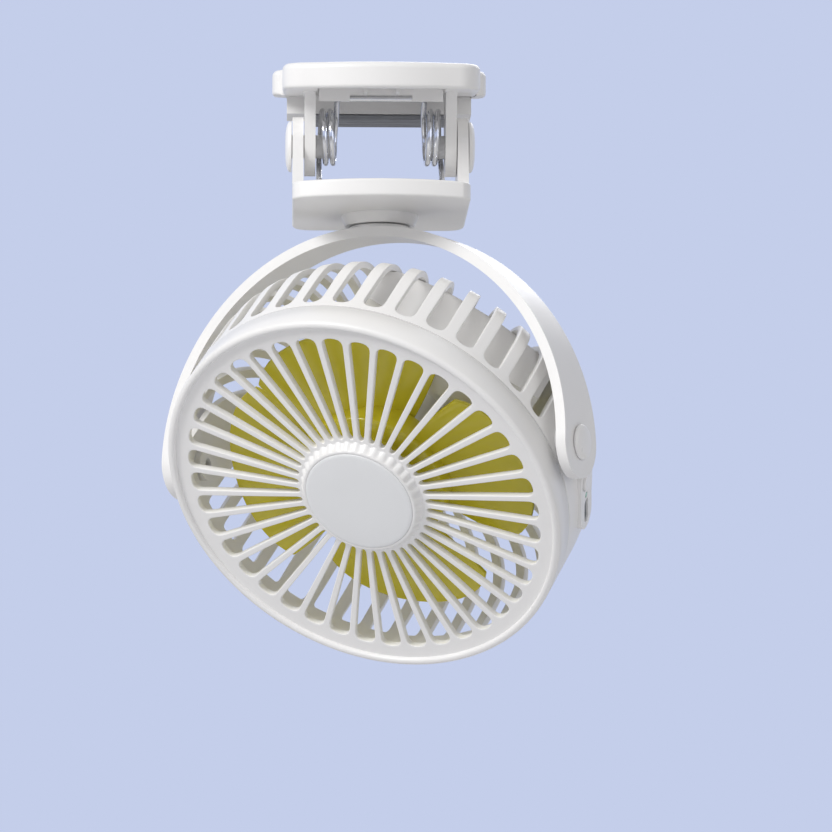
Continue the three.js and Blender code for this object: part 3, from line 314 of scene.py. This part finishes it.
def settle(piece, place):
    """Puts a shape drawn in millimetres at its place, and writes the place into its mesh."""
    only(piece)
    piece.matrix_world = place @ Matrix.Scale(MM, 4)
    bpy.context.view_layer.update()
    bpy.ops.object.transform_apply(location=True, rotation=True, scale=True)


def dress(piece, material, body, node, smooth=35):
    """Gives a piece its finish and the body that it moves with, and hides the solid that it stands
    for.
    """
    only(piece)
    bpy.ops.object.shade_smooth_by_angle(angle=math.radians(smooth))
    piece.data.materials.clear()
    piece.data.materials.append(material)
    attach(piece, body)
    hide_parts(node)


def domed(radius, rim, rise, face):
    """The rings of a low dome that stands on a face, over a short upright rim."""
    upright = rim * 0.6
    rings = [(radius, face), (radius, face + upright)]
    steps = 7
    for i in range(1, steps + 1):
        a = i * math.pi / 2 / steps
        across = max(radius * math.cos(a) ** 0.62, 0.05)
        rings.append((across, face + upright + (rise - upright) * math.sin(a)))
    return rings


white_cap = shades("white_cap", linear(243, 242, 241), 0.015, 0.3, 0.03, 12, 0.4, 0.008)
for side, name in ((1, "right"), (-1, "left")):
    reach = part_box("clamp_pin_" + name)
    inner, outer = (reach[0].x, reach[1].x) if side > 0 else (-reach[1].x, -reach[0].x)
    tip, crown = inner / MM + PIN_TIP_IN, outer / MM
    face = crown - PIN_DOME_RISE
    rings = [(PIN_RADIUS - 0.6, tip), (PIN_RADIUS, tip + 0.6), (PIN_RADIUS, face - 0.1)]
    rings += domed(8.8, 0.8, PIN_DOME_RISE, face)
    pin = turned("hinge_pin_" + name, rings, HINGE @ Matrix.Scale(side, 4, (1, 0, 0)) @ ALONG_X)
    face_outward(pin)
    dress(pin, white_cap, "lower_clamp", "clamp_pin_" + name)

# ---- torsion spring ----
# One length of hard-drawn steel wire, nickel-bright: a leg on the lower plate, a coil round each
# pin and a straight bar across the front that lifts the upper plate.

COIL_RADIUS = 9.0
COIL_CENTRE = Vector((0, 0, 3.4))
COIL_TURNS = 2
COIL_PITCH = 2.5
COIL_STEPS = 170
WIRE = 2.0
BAR_BEND = 2.4
LOWER_WIDTH = 60.4
EAR_THICK = 3.8
SIDE_GAP = 0.3
bar_middle = Matrix.Rotation(math.radians(CLAMP_TILT), 4, "X") @ Vector((0, -9.9, 16.1))
leg_foot = Vector((0, -14, PLATE_TOP + WIRE / 2 + 0.3))


def leaves_coil(point, turn):
    """The angle on the coil at which a straight wire to a point leaves it."""
    away = point - COIL_CENTRE
    reach = math.hypot(away.y, away.z)
    return math.atan2(away.z, away.y) + turn * math.acos(COIL_RADIUS / reach)


def on_coil(x, angle):
    """The point of the coil's middle line at an angle, at a place across the clamp."""
    reach = Vector((0, math.cos(angle), math.sin(angle))) * COIL_RADIUS
    return Vector((x, COIL_CENTRE.y, COIL_CENTRE.z)) + reach


first = leaves_coil(leg_foot, 1)
last = leaves_coil(bar_middle, -1)
while last < first + COIL_TURNS * 2 * math.pi:
    last += 2 * math.pi
# The coil starts beside the inner ear, and each turn lies nearer to the middle.
coil_start = LOWER_WIDTH / 2 - 2 * (EAR_THICK + SIDE_GAP) - WIRE / 2
coil_width = (last - first) / (2 * math.pi) * COIL_PITCH
foot = Vector((coil_start, leg_foot.y, leg_foot.z))
half_path = [foot.lerp(on_coil(coil_start, first), t) for t in (0, 0.3, 0.6, 0.9)]
for i in range(COIL_STEPS + 1):
    t = i / COIL_STEPS
    half_path.append(on_coil(coil_start - coil_width * t, first + (last - first) * t))
end = half_path[-1]
corner = Vector((end.x, bar_middle.y, bar_middle.z))
before = corner.lerp(end, BAR_BEND / (corner - end).length)
after = corner - Vector((BAR_BEND, 0, 0))
half_path.append(end.lerp(before, 0.5))
for i in range(9):
    t = i / 8
    half_path.append(before * (1 - t) ** 2 + corner * 2 * t * (1 - t) + after * t * t)
bar = [Vector((after.x * t, after.y, after.z)) for t in (0.6, 0.2, -0.2, -0.6)]
whole_path = half_path + bar + [Vector((-p.x, p.y, p.z)) for p in reversed(half_path)]
wire = bpy.data.curves.new("clamp_spring_wire", "CURVE")
wire.dimensions = "3D"
wire.bevel_depth = WIRE / 2
wire.bevel_resolution = 6
wire.use_fill_caps = True
strand = wire.splines.new("POLY")
strand.points.add(len(whole_path) - 1)
for point, place in zip(strand.points, whole_path):
    point.co = (*place, 1)
spring = bpy.data.objects.new("torsion_spring", wire)
bpy.context.collection.objects.link(spring)
only(spring)
bpy.ops.object.convert(target="MESH")
settle(spring, HINGE)
weld(spring, WELD_GAP)
bpy.ops.object.shade_smooth()
spring_steel = shades(
    "spring_steel", linear(232, 233, 236), 0.05, 0.16, 0.04, 3, 0.12, 0.003, metallic=1.0
)
spring.data.materials.clear()
spring.data.materials.append(spring_steel)
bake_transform(spring)
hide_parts("clamp_spring")

# ---- swivel ----
# The post of the yoke stands in the socket under the lower plate. A screw with a wide washer,
# sunk in a well in the plate's top, holds it up and lets it turn.

SWIVEL = HINGE @ Matrix.Translation(Vector((0, 6, 0)) * MM)
WELL_FLOOR = PLATE_TOP - 3.5
THREAD_PITCH = 0.62
RECESS_ARM = 0.24
washer_plastic = shades("washer_plastic", linear(226, 227, 229), 0.03, 0.42, 0.05, 4, 0.2, 0.01)
screw_steel = shades(
    "screw_steel", linear(176, 178, 182), 0.1, 0.3, 0.08, 2, 0.1, 0.006, metallic=1.0
)


def washer_rings(bore, radius, low):
    """The rings of a washer 1 mm thick with a softened rim, which lies on a height."""
    edge = radius - 0.2
    side = [(edge, low), (radius, low + 0.2), (radius, low + 0.8), (edge, low + 1.0)]
    return [(bore, low)] + side + [(bore, low + 1.0), (bore, low)]


washer = turned(
    "swivel_slip_washer", washer_rings(1.9, 7.4, WELL_FLOOR + SIDE_GAP), SWIVEL, hollow=True
)
dress(washer, washer_plastic, "yoke_arm", "swivel_washer")


def cross_screw(name, head, thick, shank, length, under, place, recess):
    """A pan-head screw with a thread and a cross recess; its head stands on height under."""
    rings = [(0.3, under - length), (shank * 0.7, under - length + 0.8)]
    height = under - length + 1.0
    while height < under - 1.0:
        rings += [(shank * 0.82, height), (shank, height + 0.25), (shank * 0.82, height + 0.5)]
        height += THREAD_PITCH
    rings += [(shank, under - 0.3), (shank, under), (head, under), (head, under + thick * 0.35)]
    for i in range(1, 5):
        a = i * math.pi / 8
        across = head * (0.55 + 0.45 * math.cos(a))
        rings.append((across, under + thick * (0.35 + 0.65 * math.sin(a))))
    made = turned(name, rings, Matrix.Scale(1 / MM, 4), 32)
    bpy.ops.object.select_all(action="DESELECT")
    bpy.ops.mesh.primitive_cube_add(size=1, location=(0, 0, under + thick))
    cutter = bpy.context.object
    bpy.ops.object.mode_set(mode="EDIT")
    bpy.ops.mesh.select_all(action="SELECT")
    bpy.ops.transform.resize(value=(recess, recess * RECESS_ARM, thick * 1.1))
    bpy.ops.mesh.duplicate_move()
    bpy.ops.transform.resize(
        value=(RECESS_ARM, 1 / RECESS_ARM, 1), center_override=(0, 0, under + thick)
    )
    bpy.ops.object.mode_set(mode="OBJECT")
    modify(made, "BOOLEAN", operation="DIFFERENCE", solver="EXACT", use_self=True, object=cutter)
    bpy.data.objects.remove(cutter)
    settle(made, place)
    return made


dress(
    cross_screw("swivel_pan_screw", 3.4, 1.5, 1.6, 8, WELL_FLOOR + 1.6, SWIVEL, 3.2),
    screw_steel,
    "yoke_arm",
    "swivel_screw",
    30,
)

# ---- yoke ----
# A white plastic hoop bent over the head: a flat band, narrower at the top, with full round ends
# at the pivots, and the post and collar that turn in the socket. Moulded in one piece.

HEAD_TURN = math.radians(29)
PIVOT_BACK = 3
PIVOTS = (
    HINGE
    @ Matrix.Translation(Vector((0, 6, -106.1)) * MM)
    @ Matrix.Rotation(-HEAD_TURN, 4, "Z")
    @ Matrix.Translation(Vector((0, -PIVOT_BACK, 0)) * MM)
)
HOOP_RADIUS = 77.8
HOOP_THICK = 3.6
HOOP_HALF = 12.2
HOOP_TOP_HALF = 8.3
ARC_SHARE = 0.86


def hoop_half_width(height):
    """Half the band's width at a height above the pivots.

    It follows a curve with one control point from the top to the pivots, and the place on
    the curve is found by halving.
    """
    t = min(max(height / (HOOP_RADIUS + 1), 0), 1)
    low, high = 0.0, 1.0
    for _ in range(30):
        u = (low + high) / 2
        if (1 - u) ** 2 + 2 * u * (1 - u) * 0.6 > t:
            low = u
        else:
            high = u
    return HOOP_TOP_HALF * ((1 - u) ** 2 + 2 * u * (1 - u)) + HOOP_HALF * u * u


bpy.ops.object.select_all(action="DESELECT")
bpy.ops.mesh.primitive_grid_add(x_subdivisions=150, y_subdivisions=6, size=2)
hoop = bpy.context.object
hoop.name = "yoke_hoop"
for vertex in hoop.data.vertices:
    along, across = vertex.co.x, vertex.co.y
    if abs(along) < ARC_SHARE:
        a = along / ARC_SHARE * math.pi / 2
        x, z = HOOP_RADIUS * math.sin(a), HOOP_RADIUS * math.cos(a)
        half = hoop_half_width(z)
    else:
        b = (abs(along) - ARC_SHARE) / (1 - ARC_SHARE) * math.pi / 2
        x, z = math.copysign(HOOP_RADIUS, along), -HOOP_HALF * math.sin(b)
        half = HOOP_HALF * max(math.cos(b), 0.0)
    vertex.co = (x, across * half, z)
weld(hoop, 0.02)
face_outward(hoop)
if hoop.data.polygons[len(hoop.data.polygons) // 2].normal.z < 0:
    hoop.data.flip_normals()
modify(hoop, "SOLIDIFY", thickness=HOOP_THICK, offset=-1, use_even_offset=True)
modify(
    hoop,
    "BEVEL",
    width=0.7,
    segments=4,
    limit_method="ANGLE",
    angle_limit=math.radians(50),
    use_clamp_overlap=True,
)
settle(hoop, PIVOTS)
collar_rings = [(10.4, 76.2), (10.8, 76.6), (10.8, 78.5), (10.4, 78.9)]
post_rings = [(5.5, 78.9), (5.5, 84.6), (5.2, 85.4)]
post = turned(
    "yoke_post",
    collar_rings + post_rings,
    PIVOTS @ Matrix.Translation(Vector((0, PIVOT_BACK, 0)) * MM),
)
only(hoop)
post.select_set(True)
bpy.ops.object.join()
dress(hoop, white_plastic, "yoke_arm", "yoke", 40)
modify(hoop, "WEIGHTED_NORMAL", keep_sharp=True)

# ---- pivots ----
# A screw and a slip washer on each side hold the head in the yoke, stiff enough to stay where it
# is tipped. A small domed cap snaps in over each screw.

for side, name in ((1, "right"), (-1, "left")):
    out = PIVOTS @ Matrix.Scale(side, 4, (1, 0, 0)) @ ALONG_X
    face = HOOP_RADIUS + 0.3
    dome = [(5.2, face - 0.8), (5.2, face)] + domed(6.0, 0.5, 1.6, face)
    cap = turned("pivot_dome_" + name, dome, out)
    screw = cross_screw("pivot_pan_screw_" + name, 3.4, 1.2, 1.5, 9, HOOP_RADIUS - 1.7, out, 3.0)
    slip = turned("pivot_slip_washer_" + name, washer_rings(1.8, 5.4, 72.8), out, hollow=True)
    if side < 0:
        for piece in (cap, screw, slip):
            face_outward(piece)
    dress(cap, white_cap, "yoke_arm", "pivot_cap_" + name)
    dress(screw, screw_steel, "yoke_arm", "pivot_screw_" + name, 30)
    dress(slip, washer_plastic, "yoke_arm", "pivot_washer_" + name)

# ---- front grille ----
# White plastic rim, forty round-fronted spokes and a raised ring in the middle, moulded in one.
# Each slot between two spokes is round at the rim and narrow at the ring.

HEAD_NOD = math.radians(40.5)
HEAD = PIVOTS @ Matrix.Rotation(HEAD_NOD, 4, "X") @ Matrix.Translation(Vector((0, 0, -5.5)) * MM)
FORWARD = HEAD @ Matrix.Rotation(math.radians(90), 4, "X")
HEAD_RADIUS = 71.4
SLOTS = 40
SLOT_PITCH = 360 / SLOTS


def nearest_ring(point, rings):
    """The number of the ring that a point lies on."""
    radius = Vector((point.x, point.y)).length
    return min(
        range(len(rings)), key=lambda k: abs(rings[k][0] - radius) + abs(rings[k][1] - point.z)
    )


def sector_shell(name, rings, gaps, open_rings, closed, thick, offset, easing):
    """A round shell in forty sectors, with a slot in each.

    rings are (radius, height), and gaps the slot's angle at each ring. The slots are the
    faces between the open rings, except in the closed sectors.
    """
    sides = 2 * SLOTS
    bpy.ops.object.select_all(action="DESELECT")
    bpy.ops.mesh.primitive_circle_add(
        vertices=sides, radius=1, location=(0, 0, 0), fill_type="NOTHING"
    )
    shell = bpy.context.object
    shell.name = name
    bpy.ops.object.mode_set(mode="EDIT")
    for _ in rings[1:]:
        bpy.ops.mesh.extrude_region_move(TRANSFORM_OT_translate={"value": (0, 0, 1)})
    bpy.ops.object.mode_set(mode="OBJECT")
    drawn = bmesh.new()
    drawn.from_mesh(shell.data)
    for vertex in drawn.verts:
        ring = round(vertex.co.z)
        column = round(math.atan2(vertex.co.x, vertex.co.y) / (2 * math.pi) * sides) % sides
        side = -1 if column % 2 == 0 else 1
        angle = math.radians((column // 2) * SLOT_PITCH + side * gaps[ring] / 2)
        radius, height = rings[ring]
        vertex.co = (radius * math.sin(angle), radius * math.cos(angle), height)
    cut = []
    for face in drawn.faces:
        centre = face.calc_center_median()
        angle = math.degrees(math.atan2(centre.x, centre.y)) % 360
        sector = round(angle / SLOT_PITCH) % SLOTS
        off = abs((angle - sector * SLOT_PITCH + 180) % 360 - 180)
        spots = [nearest_ring(vertex.co, rings) for vertex in face.verts]
        inside = min(spots) >= open_rings[0] and max(spots) <= open_rings[1]
        if off < 1 and inside and sector not in closed:
            cut.append(face)
    bmesh.ops.delete(drawn, geom=cut, context="FACES")
    drawn.to_mesh(shell.data)
    drawn.free()
    weld(shell, 0.01)
    face_outward(shell)
    modify(shell, "SUBSURF", levels=2, render_levels=2)
    modify(shell, "SOLIDIFY", thickness=thick, offset=offset, use_even_offset=True)
    modify(
        shell, "BEVEL", width=easing, segments=3, limit_method="ANGLE", angle_limit=math.radians(50)
    )
    return shell


GRILLE_MIDDLE = 16.0
NOTCH_START = 20.4
NOTCH_DEPTH = 0.75
NOTCH_HALF_ANGLE = 2.6
grille_radii = (19.6, 22.2, 23.2, 26, 36, 46, 54, 60.0, 64.5, 66.4, 69.7)
grille_rings = [(radius, GRILLE_MIDDLE) for radius in grille_radii]
grille_gaps = [3.9, 4.4, 4.7, 5.0, 5.9, 6.4, 6.7, 6.9, 7.0, 6.6, 6.6]
grille = sector_shell("grille_spokes", grille_rings, grille_gaps, (2, 8), (), 2.4, 0, 0.75)
settle(grille, FORWARD)
rim_outside = [(69.2, 8.0), (71.1, 8.0), (HEAD_RADIUS, 8.3), (HEAD_RADIUS, 17.3)]
rim_front = [(71.3, 17.9), (71.0, 18.4), (70.5, 18.7), (70.0, 18.8), (69.4, 18.75), (69.0, 18.5)]
rim_inside = [(68.8, 18.1), (68.7, 17.6), (68.7, 16.6), (66.6, 16.4), (66.4, 14.8)]
rim_tongue = [(67.8, 14.0), (67.8, 6.2), (69.0, 6.2), (69.2, 8.0)]
rim = turned(
    "grille_rim",
    rim_outside + rim_front + rim_inside + rim_tongue,
    FORWARD,
    192,
    hollow=True,
)
ring_front = [(19.43, 17.9), (19.43, 20.15), (19.55, 20.27), (20.1, 20.3), (20.5, 20.15)]
ring_skirt = [(20.9, 19.7), (21.5, 18.6), (22.3, 17.4), (23.2, 16.6), (23.4, 15.8), (22.8, 14.9)]
ring_back = [(19.0, 13.7), (0.05, 13.6), (0.05, 17.9), (19.43, 17.9)]
ring = turned(
    "grille_ring",
    ring_front + ring_skirt + ring_back,
    FORWARD,
    240,
    hollow=True,
)
# The ring's skirt gets a shallow notch in line with each slot.
inward = FORWARD.inverted()
for vertex in ring.data.vertices:
    local = inward @ vertex.co / MM
    radius = Vector((local.x, local.y)).length
    if radius > NOTCH_START and local.z > 15.5:
        angle = math.degrees(math.atan2(local.x, local.y))
        off = abs((angle + SLOT_PITCH / 2) % SLOT_PITCH - SLOT_PITCH / 2)
        fade = min(1, (radius - NOTCH_START) / 1.2)
        notch = NOTCH_DEPTH * max(0.0, 1 - (off / NOTCH_HALF_ANGLE) ** 2) * fade
        local.x *= (radius - notch) / radius
        local.y *= (radius - notch) / radius
        vertex.co = FORWARD @ (local * MM)
seat = turned("grille_seat", [(20.2, 17.6), (20.2, 18.1), (0.4, 18.2)], FORWARD, 64)
only(grille)
for piece in (rim, ring, seat):
    piece.select_set(True)
bpy.ops.object.join()
dress(grille, white_plastic, "head", "front_grille", 45)

# ---- hub disc ----
# A smooth disc pressed into the ring in the middle of the grille, a touch greyer and bluer than
# the plastic round it, with a fine eased edge.

disc_plastic = shades("disc_plastic", linear(236, 237, 238), 0.015, 0.42, 0.04, 25, 0.3, 0.006)
disc_edge = [(19.0, 18.5), (19.4, 18.8), (19.4, 20.25), (19.3, 20.42), (19.0, 20.56)]
disc_face = [(18.2, 20.66), (9, 20.75), (0.4, 20.78)]
disc = turned("hub_badge_blank", disc_edge + disc_face, FORWARD, 128)
dress(disc, disc_plastic, "head", "hub_disc", 30)

# ---- rear housing ----
# A deep round shell of the same plastic. Its slots run from the seam over the rounded rear edge
# onto the back, all but those beside the pivots and the control panel, which stay closed.

EDGE_ROUND = 20
EDGE_TOP = -14
BACK = EDGE_TOP - EDGE_ROUND
housing_rings = [(HEAD_RADIUS, height) for height in (7.7, 7.0, 5.7, 0.8, -7, EDGE_TOP)]
for i in range(1, 6):
    a = math.radians(18 * i)
    across = HEAD_RADIUS - EDGE_ROUND + EDGE_ROUND * math.cos(a)
    housing_rings.append((across, EDGE_TOP - EDGE_ROUND * math.sin(a)))
housing_rings += [(radius, BACK) for radius in (45, 37, 33.5, 31.6, 28, 18, 7, 0.05)]
housing_gaps = [5.9] * 4 + [5.7] * 3 + [5.6] * 4 + [5.4, 5.2, 5.0] + [5.0] * 5
# The right side is shut from the pivot to the panel, the left side only at the pivot.
sector_angles = [i * SLOT_PITCH for i in range(SLOTS)]
shut = [i for i, a in enumerate(sector_angles) if 81 <= a <= 126 or 270 <= a <= 279]
housing = sector_shell("rear_shell", housing_rings, housing_gaps, (2, 14), shut, 2.2, -1, 0.55)
settle(housing, FORWARD)
bosses = []
for side in (1, -1):
    boss = turned(
        "pivot_boss",
        [(5.8, 66.0), (5.8, 72.2), (5.5, 72.5), (1.9, 72.5), (1.9, 66.0), (5.8, 66.0)],
        PIVOTS @ Matrix.Rotation(HEAD_NOD, 4, "X") @ Matrix.Scale(side, 4, (1, 0, 0)) @ ALONG_X,
        48,
        hollow=True,
    )
    face_outward(boss)
    bosses.append(boss)
only(housing)
for boss in bosses:
    boss.select_set(True)
bpy.ops.object.join()
dress(housing, white_plastic, "head", "rear_housing", 45)

# ---- impeller ----
# Four wide scooped blades on a stepped cup, moulded in one in yellow-green plastic with a glossy
# skin. The cup sits on the motor's shaft by a bush, and the blades' edges are rounded.

BLADES = 4
BLADE_SPAN = 78
BLADE_TURN = 3
BLADE_MIDDLE = 2.0
BLADE_LEAN = -10.0
BLADE_ROOT = 25.1
BLADE_TIP = 56.0
BLADE_THICK = 1.4
blade_green = shades(
    "blade_green", linear(218, 205, 48), 0.05, 0.22, 0.05, 14, 0.4, 0.008, sheen=0.35
)
cup_inside = [(3.3, 10.0), (18.0, 9.0), (18.2, 7.4), (24.6, 6.6), (24.7, -1.4)]
cup_side = [(26.4, -1.4), (26.5, -1.1), (26.5, 8.0), (26.3, 8.6), (25.6, 9.1), (20.6, 9.7)]
cup_step = [(20.1, 10.0), (20.0, 10.4), (20.0, 11.2), (19.7, 11.8), (18.8, 12.25)]
cup_front = [(15, 12.7), (8, 12.97), (0.4, 13.0)]
hub = turned("fan_hub", cup_inside + cup_side + cup_step + cup_front, FORWARD, 96)
blades = []
for i in range(BLADES):
    bpy.ops.object.select_all(action="DESELECT")
    bpy.ops.mesh.primitive_grid_add(x_subdivisions=24, y_subdivisions=14, size=2)
    blade = bpy.context.object
    blade.name = "fan_blade"
    for vertex in blade.data.vertices:
        across, out = vertex.co.x, (vertex.co.y + 1) / 2
        tip = BLADE_TIP * (1 - abs(across) ** 4 * 0.09)
        radius = BLADE_ROOT + (tip - BLADE_ROOT) * out
        spread = BLADE_SPAN * (1.1 - 0.1 * out)
        a = math.radians(BLADE_TURN + 360 / BLADES * i + across * spread / 2)
        scoop = 1.1 * (1 - across * across) * math.sin(math.pi * min(out, 1) * 0.8)
        height = BLADE_MIDDLE + across * BLADE_LEAN / 2 - scoop
        vertex.co = (radius * math.sin(a), radius * math.cos(a), height)
    modify(blade, "SOLIDIFY", thickness=BLADE_THICK, offset=0, use_even_offset=True)
    modify(
        blade, "BEVEL", width=0.45, segments=3, limit_method="ANGLE", angle_limit=math.radians(50)
    )
    settle(blade, FORWARD)
    blades.append(blade)
only(hub)
for blade in blades:
    blade.select_set(True)
bpy.ops.object.join()
dress(hub, blade_green, "rotor", "impeller", 40)

# ---- motor ----
# A small round motor in a plain steel can, held in a white cup on the housing's floor. A steel
# shaft and a brass bush carry the impeller.

motor_steel = shades(
    "motor_steel", linear(186, 188, 190), 0.08, 0.32, 0.06, 5, 0.15, 0.005, metallic=1.0
)
can_back = [(10.6, -26), (11.6, -25.8), (12.0, -25.2), (12.0, -9.0)]
can_groove = [(11.8, -8.8), (11.8, -8.2), (12.0, -8.0)]
can_front = [(12.0, -4.8), (11.7, -4.2), (11.0, -4.0), (3.2, -4.0)]
can_nose = [(3.2, -2.9), (3.0, -2.8), (1.3, -2.8), (1.3, -10.0), (0.3, -10.0)]
can = turned("motor_shell", can_back + can_groove + can_front + can_nose, FORWARD)
dress(can, motor_steel, "head", "motor_can", 30)
shaft = turned("motor_spindle", [(0.8, -9.7), (1.0, -9.5), (1.0, 9.6), (0.8, 9.7)], FORWARD, 32)
dress(shaft, screw_steel, "rotor", "motor_shaft", 30)
bush_brass = shades(
    "bush_brass", linear(196, 160, 88), 0.1, 0.3, 0.06, 2, 0.1, 0.004, metallic=1.0
)
bush = turned(
    "brass_bush",
    [(1.3, 2.0), (2.8, 2.0), (3.0, 2.2), (3.0, 9.5), (2.8, 9.7), (1.3, 9.7), (1.3, 2.0)],
    FORWARD,
    48,
    hollow=True,
)
dress(bush, bush_brass, "rotor", "shaft_bush", 30)
moulded("motor_holder", "motor_cup", 0.25, white_plastic, "head")

# ---- battery ----
# One round lithium cell in a pale, glossy shrink wrap. It lies in a closed white compartment
# behind the upper right slots, where it shows as a smooth pale box.

cell_wrap = shades("cell_wrap", linear(206, 208, 211), 0.05, 0.22, 0.05, 8, 0.5, 0.01, sheen=0.4)
moulded("battery", "battery_cell", 0.3, cell_wrap, "head")
moulded("battery_box", "battery_compartment", 0.6, white_plastic, "head", 3)

# ---- control panel ----
# A lozenge of white plastic set into the side of the head below the right pivot, with a round
# push button, a small light and the charging inlet in it.

moulded("control_panel", "side_panel", 0.35, white_plastic, "head", 3)
moulded("power_button", "push_button", 0.35, white_cap, "button", 3)
light_lens = shades("light_lens", linear(170, 214, 190), 0.05, 0.22, 0.04, 1, 0.1, 0.004, sheen=0.4)
moulded("charge_light", "light_pipe", 0.2, light_lens, "head")
moulded("charge_socket", "charging_inlet", 0.1, motor_steel, "head")
black_plastic = shades("black_plastic", linear(38, 39, 42), 0.15, 0.45, 0.06, 3, 0.2, 0.01)
moulded("button_switch", "tact_switch", 0.15, black_plastic, "head")
board_green = shades("board_green", linear(40, 104, 66), 0.1, 0.4, 0.06, 2, 0.3, 0.012)
moulded("circuit_board", "control_board", 0.1, board_green, "head")

# ---- studio ----
# A pale floor well below the hanging fan, a pale surround and three soft lamps. The camera stands
# where the photograph was taken from, a little below the fan and looking up.

bpy.ops.object.select_all(action="DESELECT")
bpy.ops.mesh.primitive_plane_add(size=8, location=(0, 0, -0.42))
floor = bpy.context.object
floor.name = "studio_floor"
pale = bpy.data.materials.new("studio_pale")
pale.use_nodes = True
pale.node_tree.nodes["Principled BSDF"].inputs["Base Color"].default_value = linear(216, 217, 222)
pale.node_tree.nodes["Principled BSDF"].inputs["Roughness"].default_value = 0.9
floor.data.materials.append(pale)

# What the camera, reflections and clear pieces see is blue; what lights the fan is nearly white.
world = bpy.data.worlds.new("studio_surround")
bpy.context.scene.world = world
world.use_nodes = True
nodes, links = world.node_tree.nodes, world.node_tree.links
nodes.clear()
out = nodes.new("ShaderNodeOutputWorld")
seen = nodes.new("ShaderNodeBackground")
seen.inputs["Color"].default_value = linear(196, 206, 234)
seen.inputs["Strength"].default_value = 1.0
fill = nodes.new("ShaderNodeBackground")
fill.inputs["Color"].default_value = linear(248, 246, 242)
fill.inputs["Strength"].default_value = 0.46
rays = nodes.new("ShaderNodeLightPath")
either = nodes.new("ShaderNodeMath")
either.operation = "MAXIMUM"
either_too = nodes.new("ShaderNodeMath")
either_too.operation = "MAXIMUM"
links.new(rays.outputs["Is Camera Ray"], either.inputs[0])
links.new(rays.outputs["Is Glossy Ray"], either.inputs[1])
links.new(either.outputs["Value"], either_too.inputs[0])
links.new(rays.outputs["Is Transmission Ray"], either_too.inputs[1])
mix = nodes.new("ShaderNodeMixShader")
links.new(either_too.outputs["Value"], mix.inputs["Fac"])
links.new(fill.outputs["Background"], mix.inputs[1])
links.new(seen.outputs["Background"], mix.inputs[2])
links.new(mix.outputs["Shader"], out.inputs["Surface"])


LAMP_AIM = Vector((0, -0.02, -0.07))


def soft_lamp(name, place, size, power):
    """A square lamp at a place, aimed at the fan; places and sizes are in metres."""
    lamp = bpy.data.lights.new(name, "AREA")
    lamp.size = size
    lamp.energy = power
    holder = bpy.data.objects.new(name, lamp)
    bpy.context.collection.objects.link(holder)
    holder.location = place
    holder.rotation_euler = (LAMP_AIM - Vector(place)).to_track_quat("-Z", "Y").to_euler()


soft_lamp("key_lamp", (-0.75, -0.75, 0.55), 0.45, 9.8)
soft_lamp("fill_lamp", (0.9, -0.9, 0.1), 0.9, 1.9)
soft_lamp("back_lamp", (0.3, 0.9, 0.7), 0.7, 4.0)

scene = bpy.context.scene
scene.view_settings.view_transform = "Standard"
camera = bpy.data.objects.new("photo_camera", bpy.data.cameras.new("photo_camera"))
bpy.context.collection.objects.link(camera)
camera.data.sensor_width = 36
camera.data.lens = 186.7
camera.data.clip_start = 0.05
camera.location = Vector((-30.4, -1490.9, -255.1)) * MM
camera.rotation_euler = Vector((0.0292, 1, 0.1214)).to_track_quat("-Z", "Y").to_euler()
scene.camera = camera
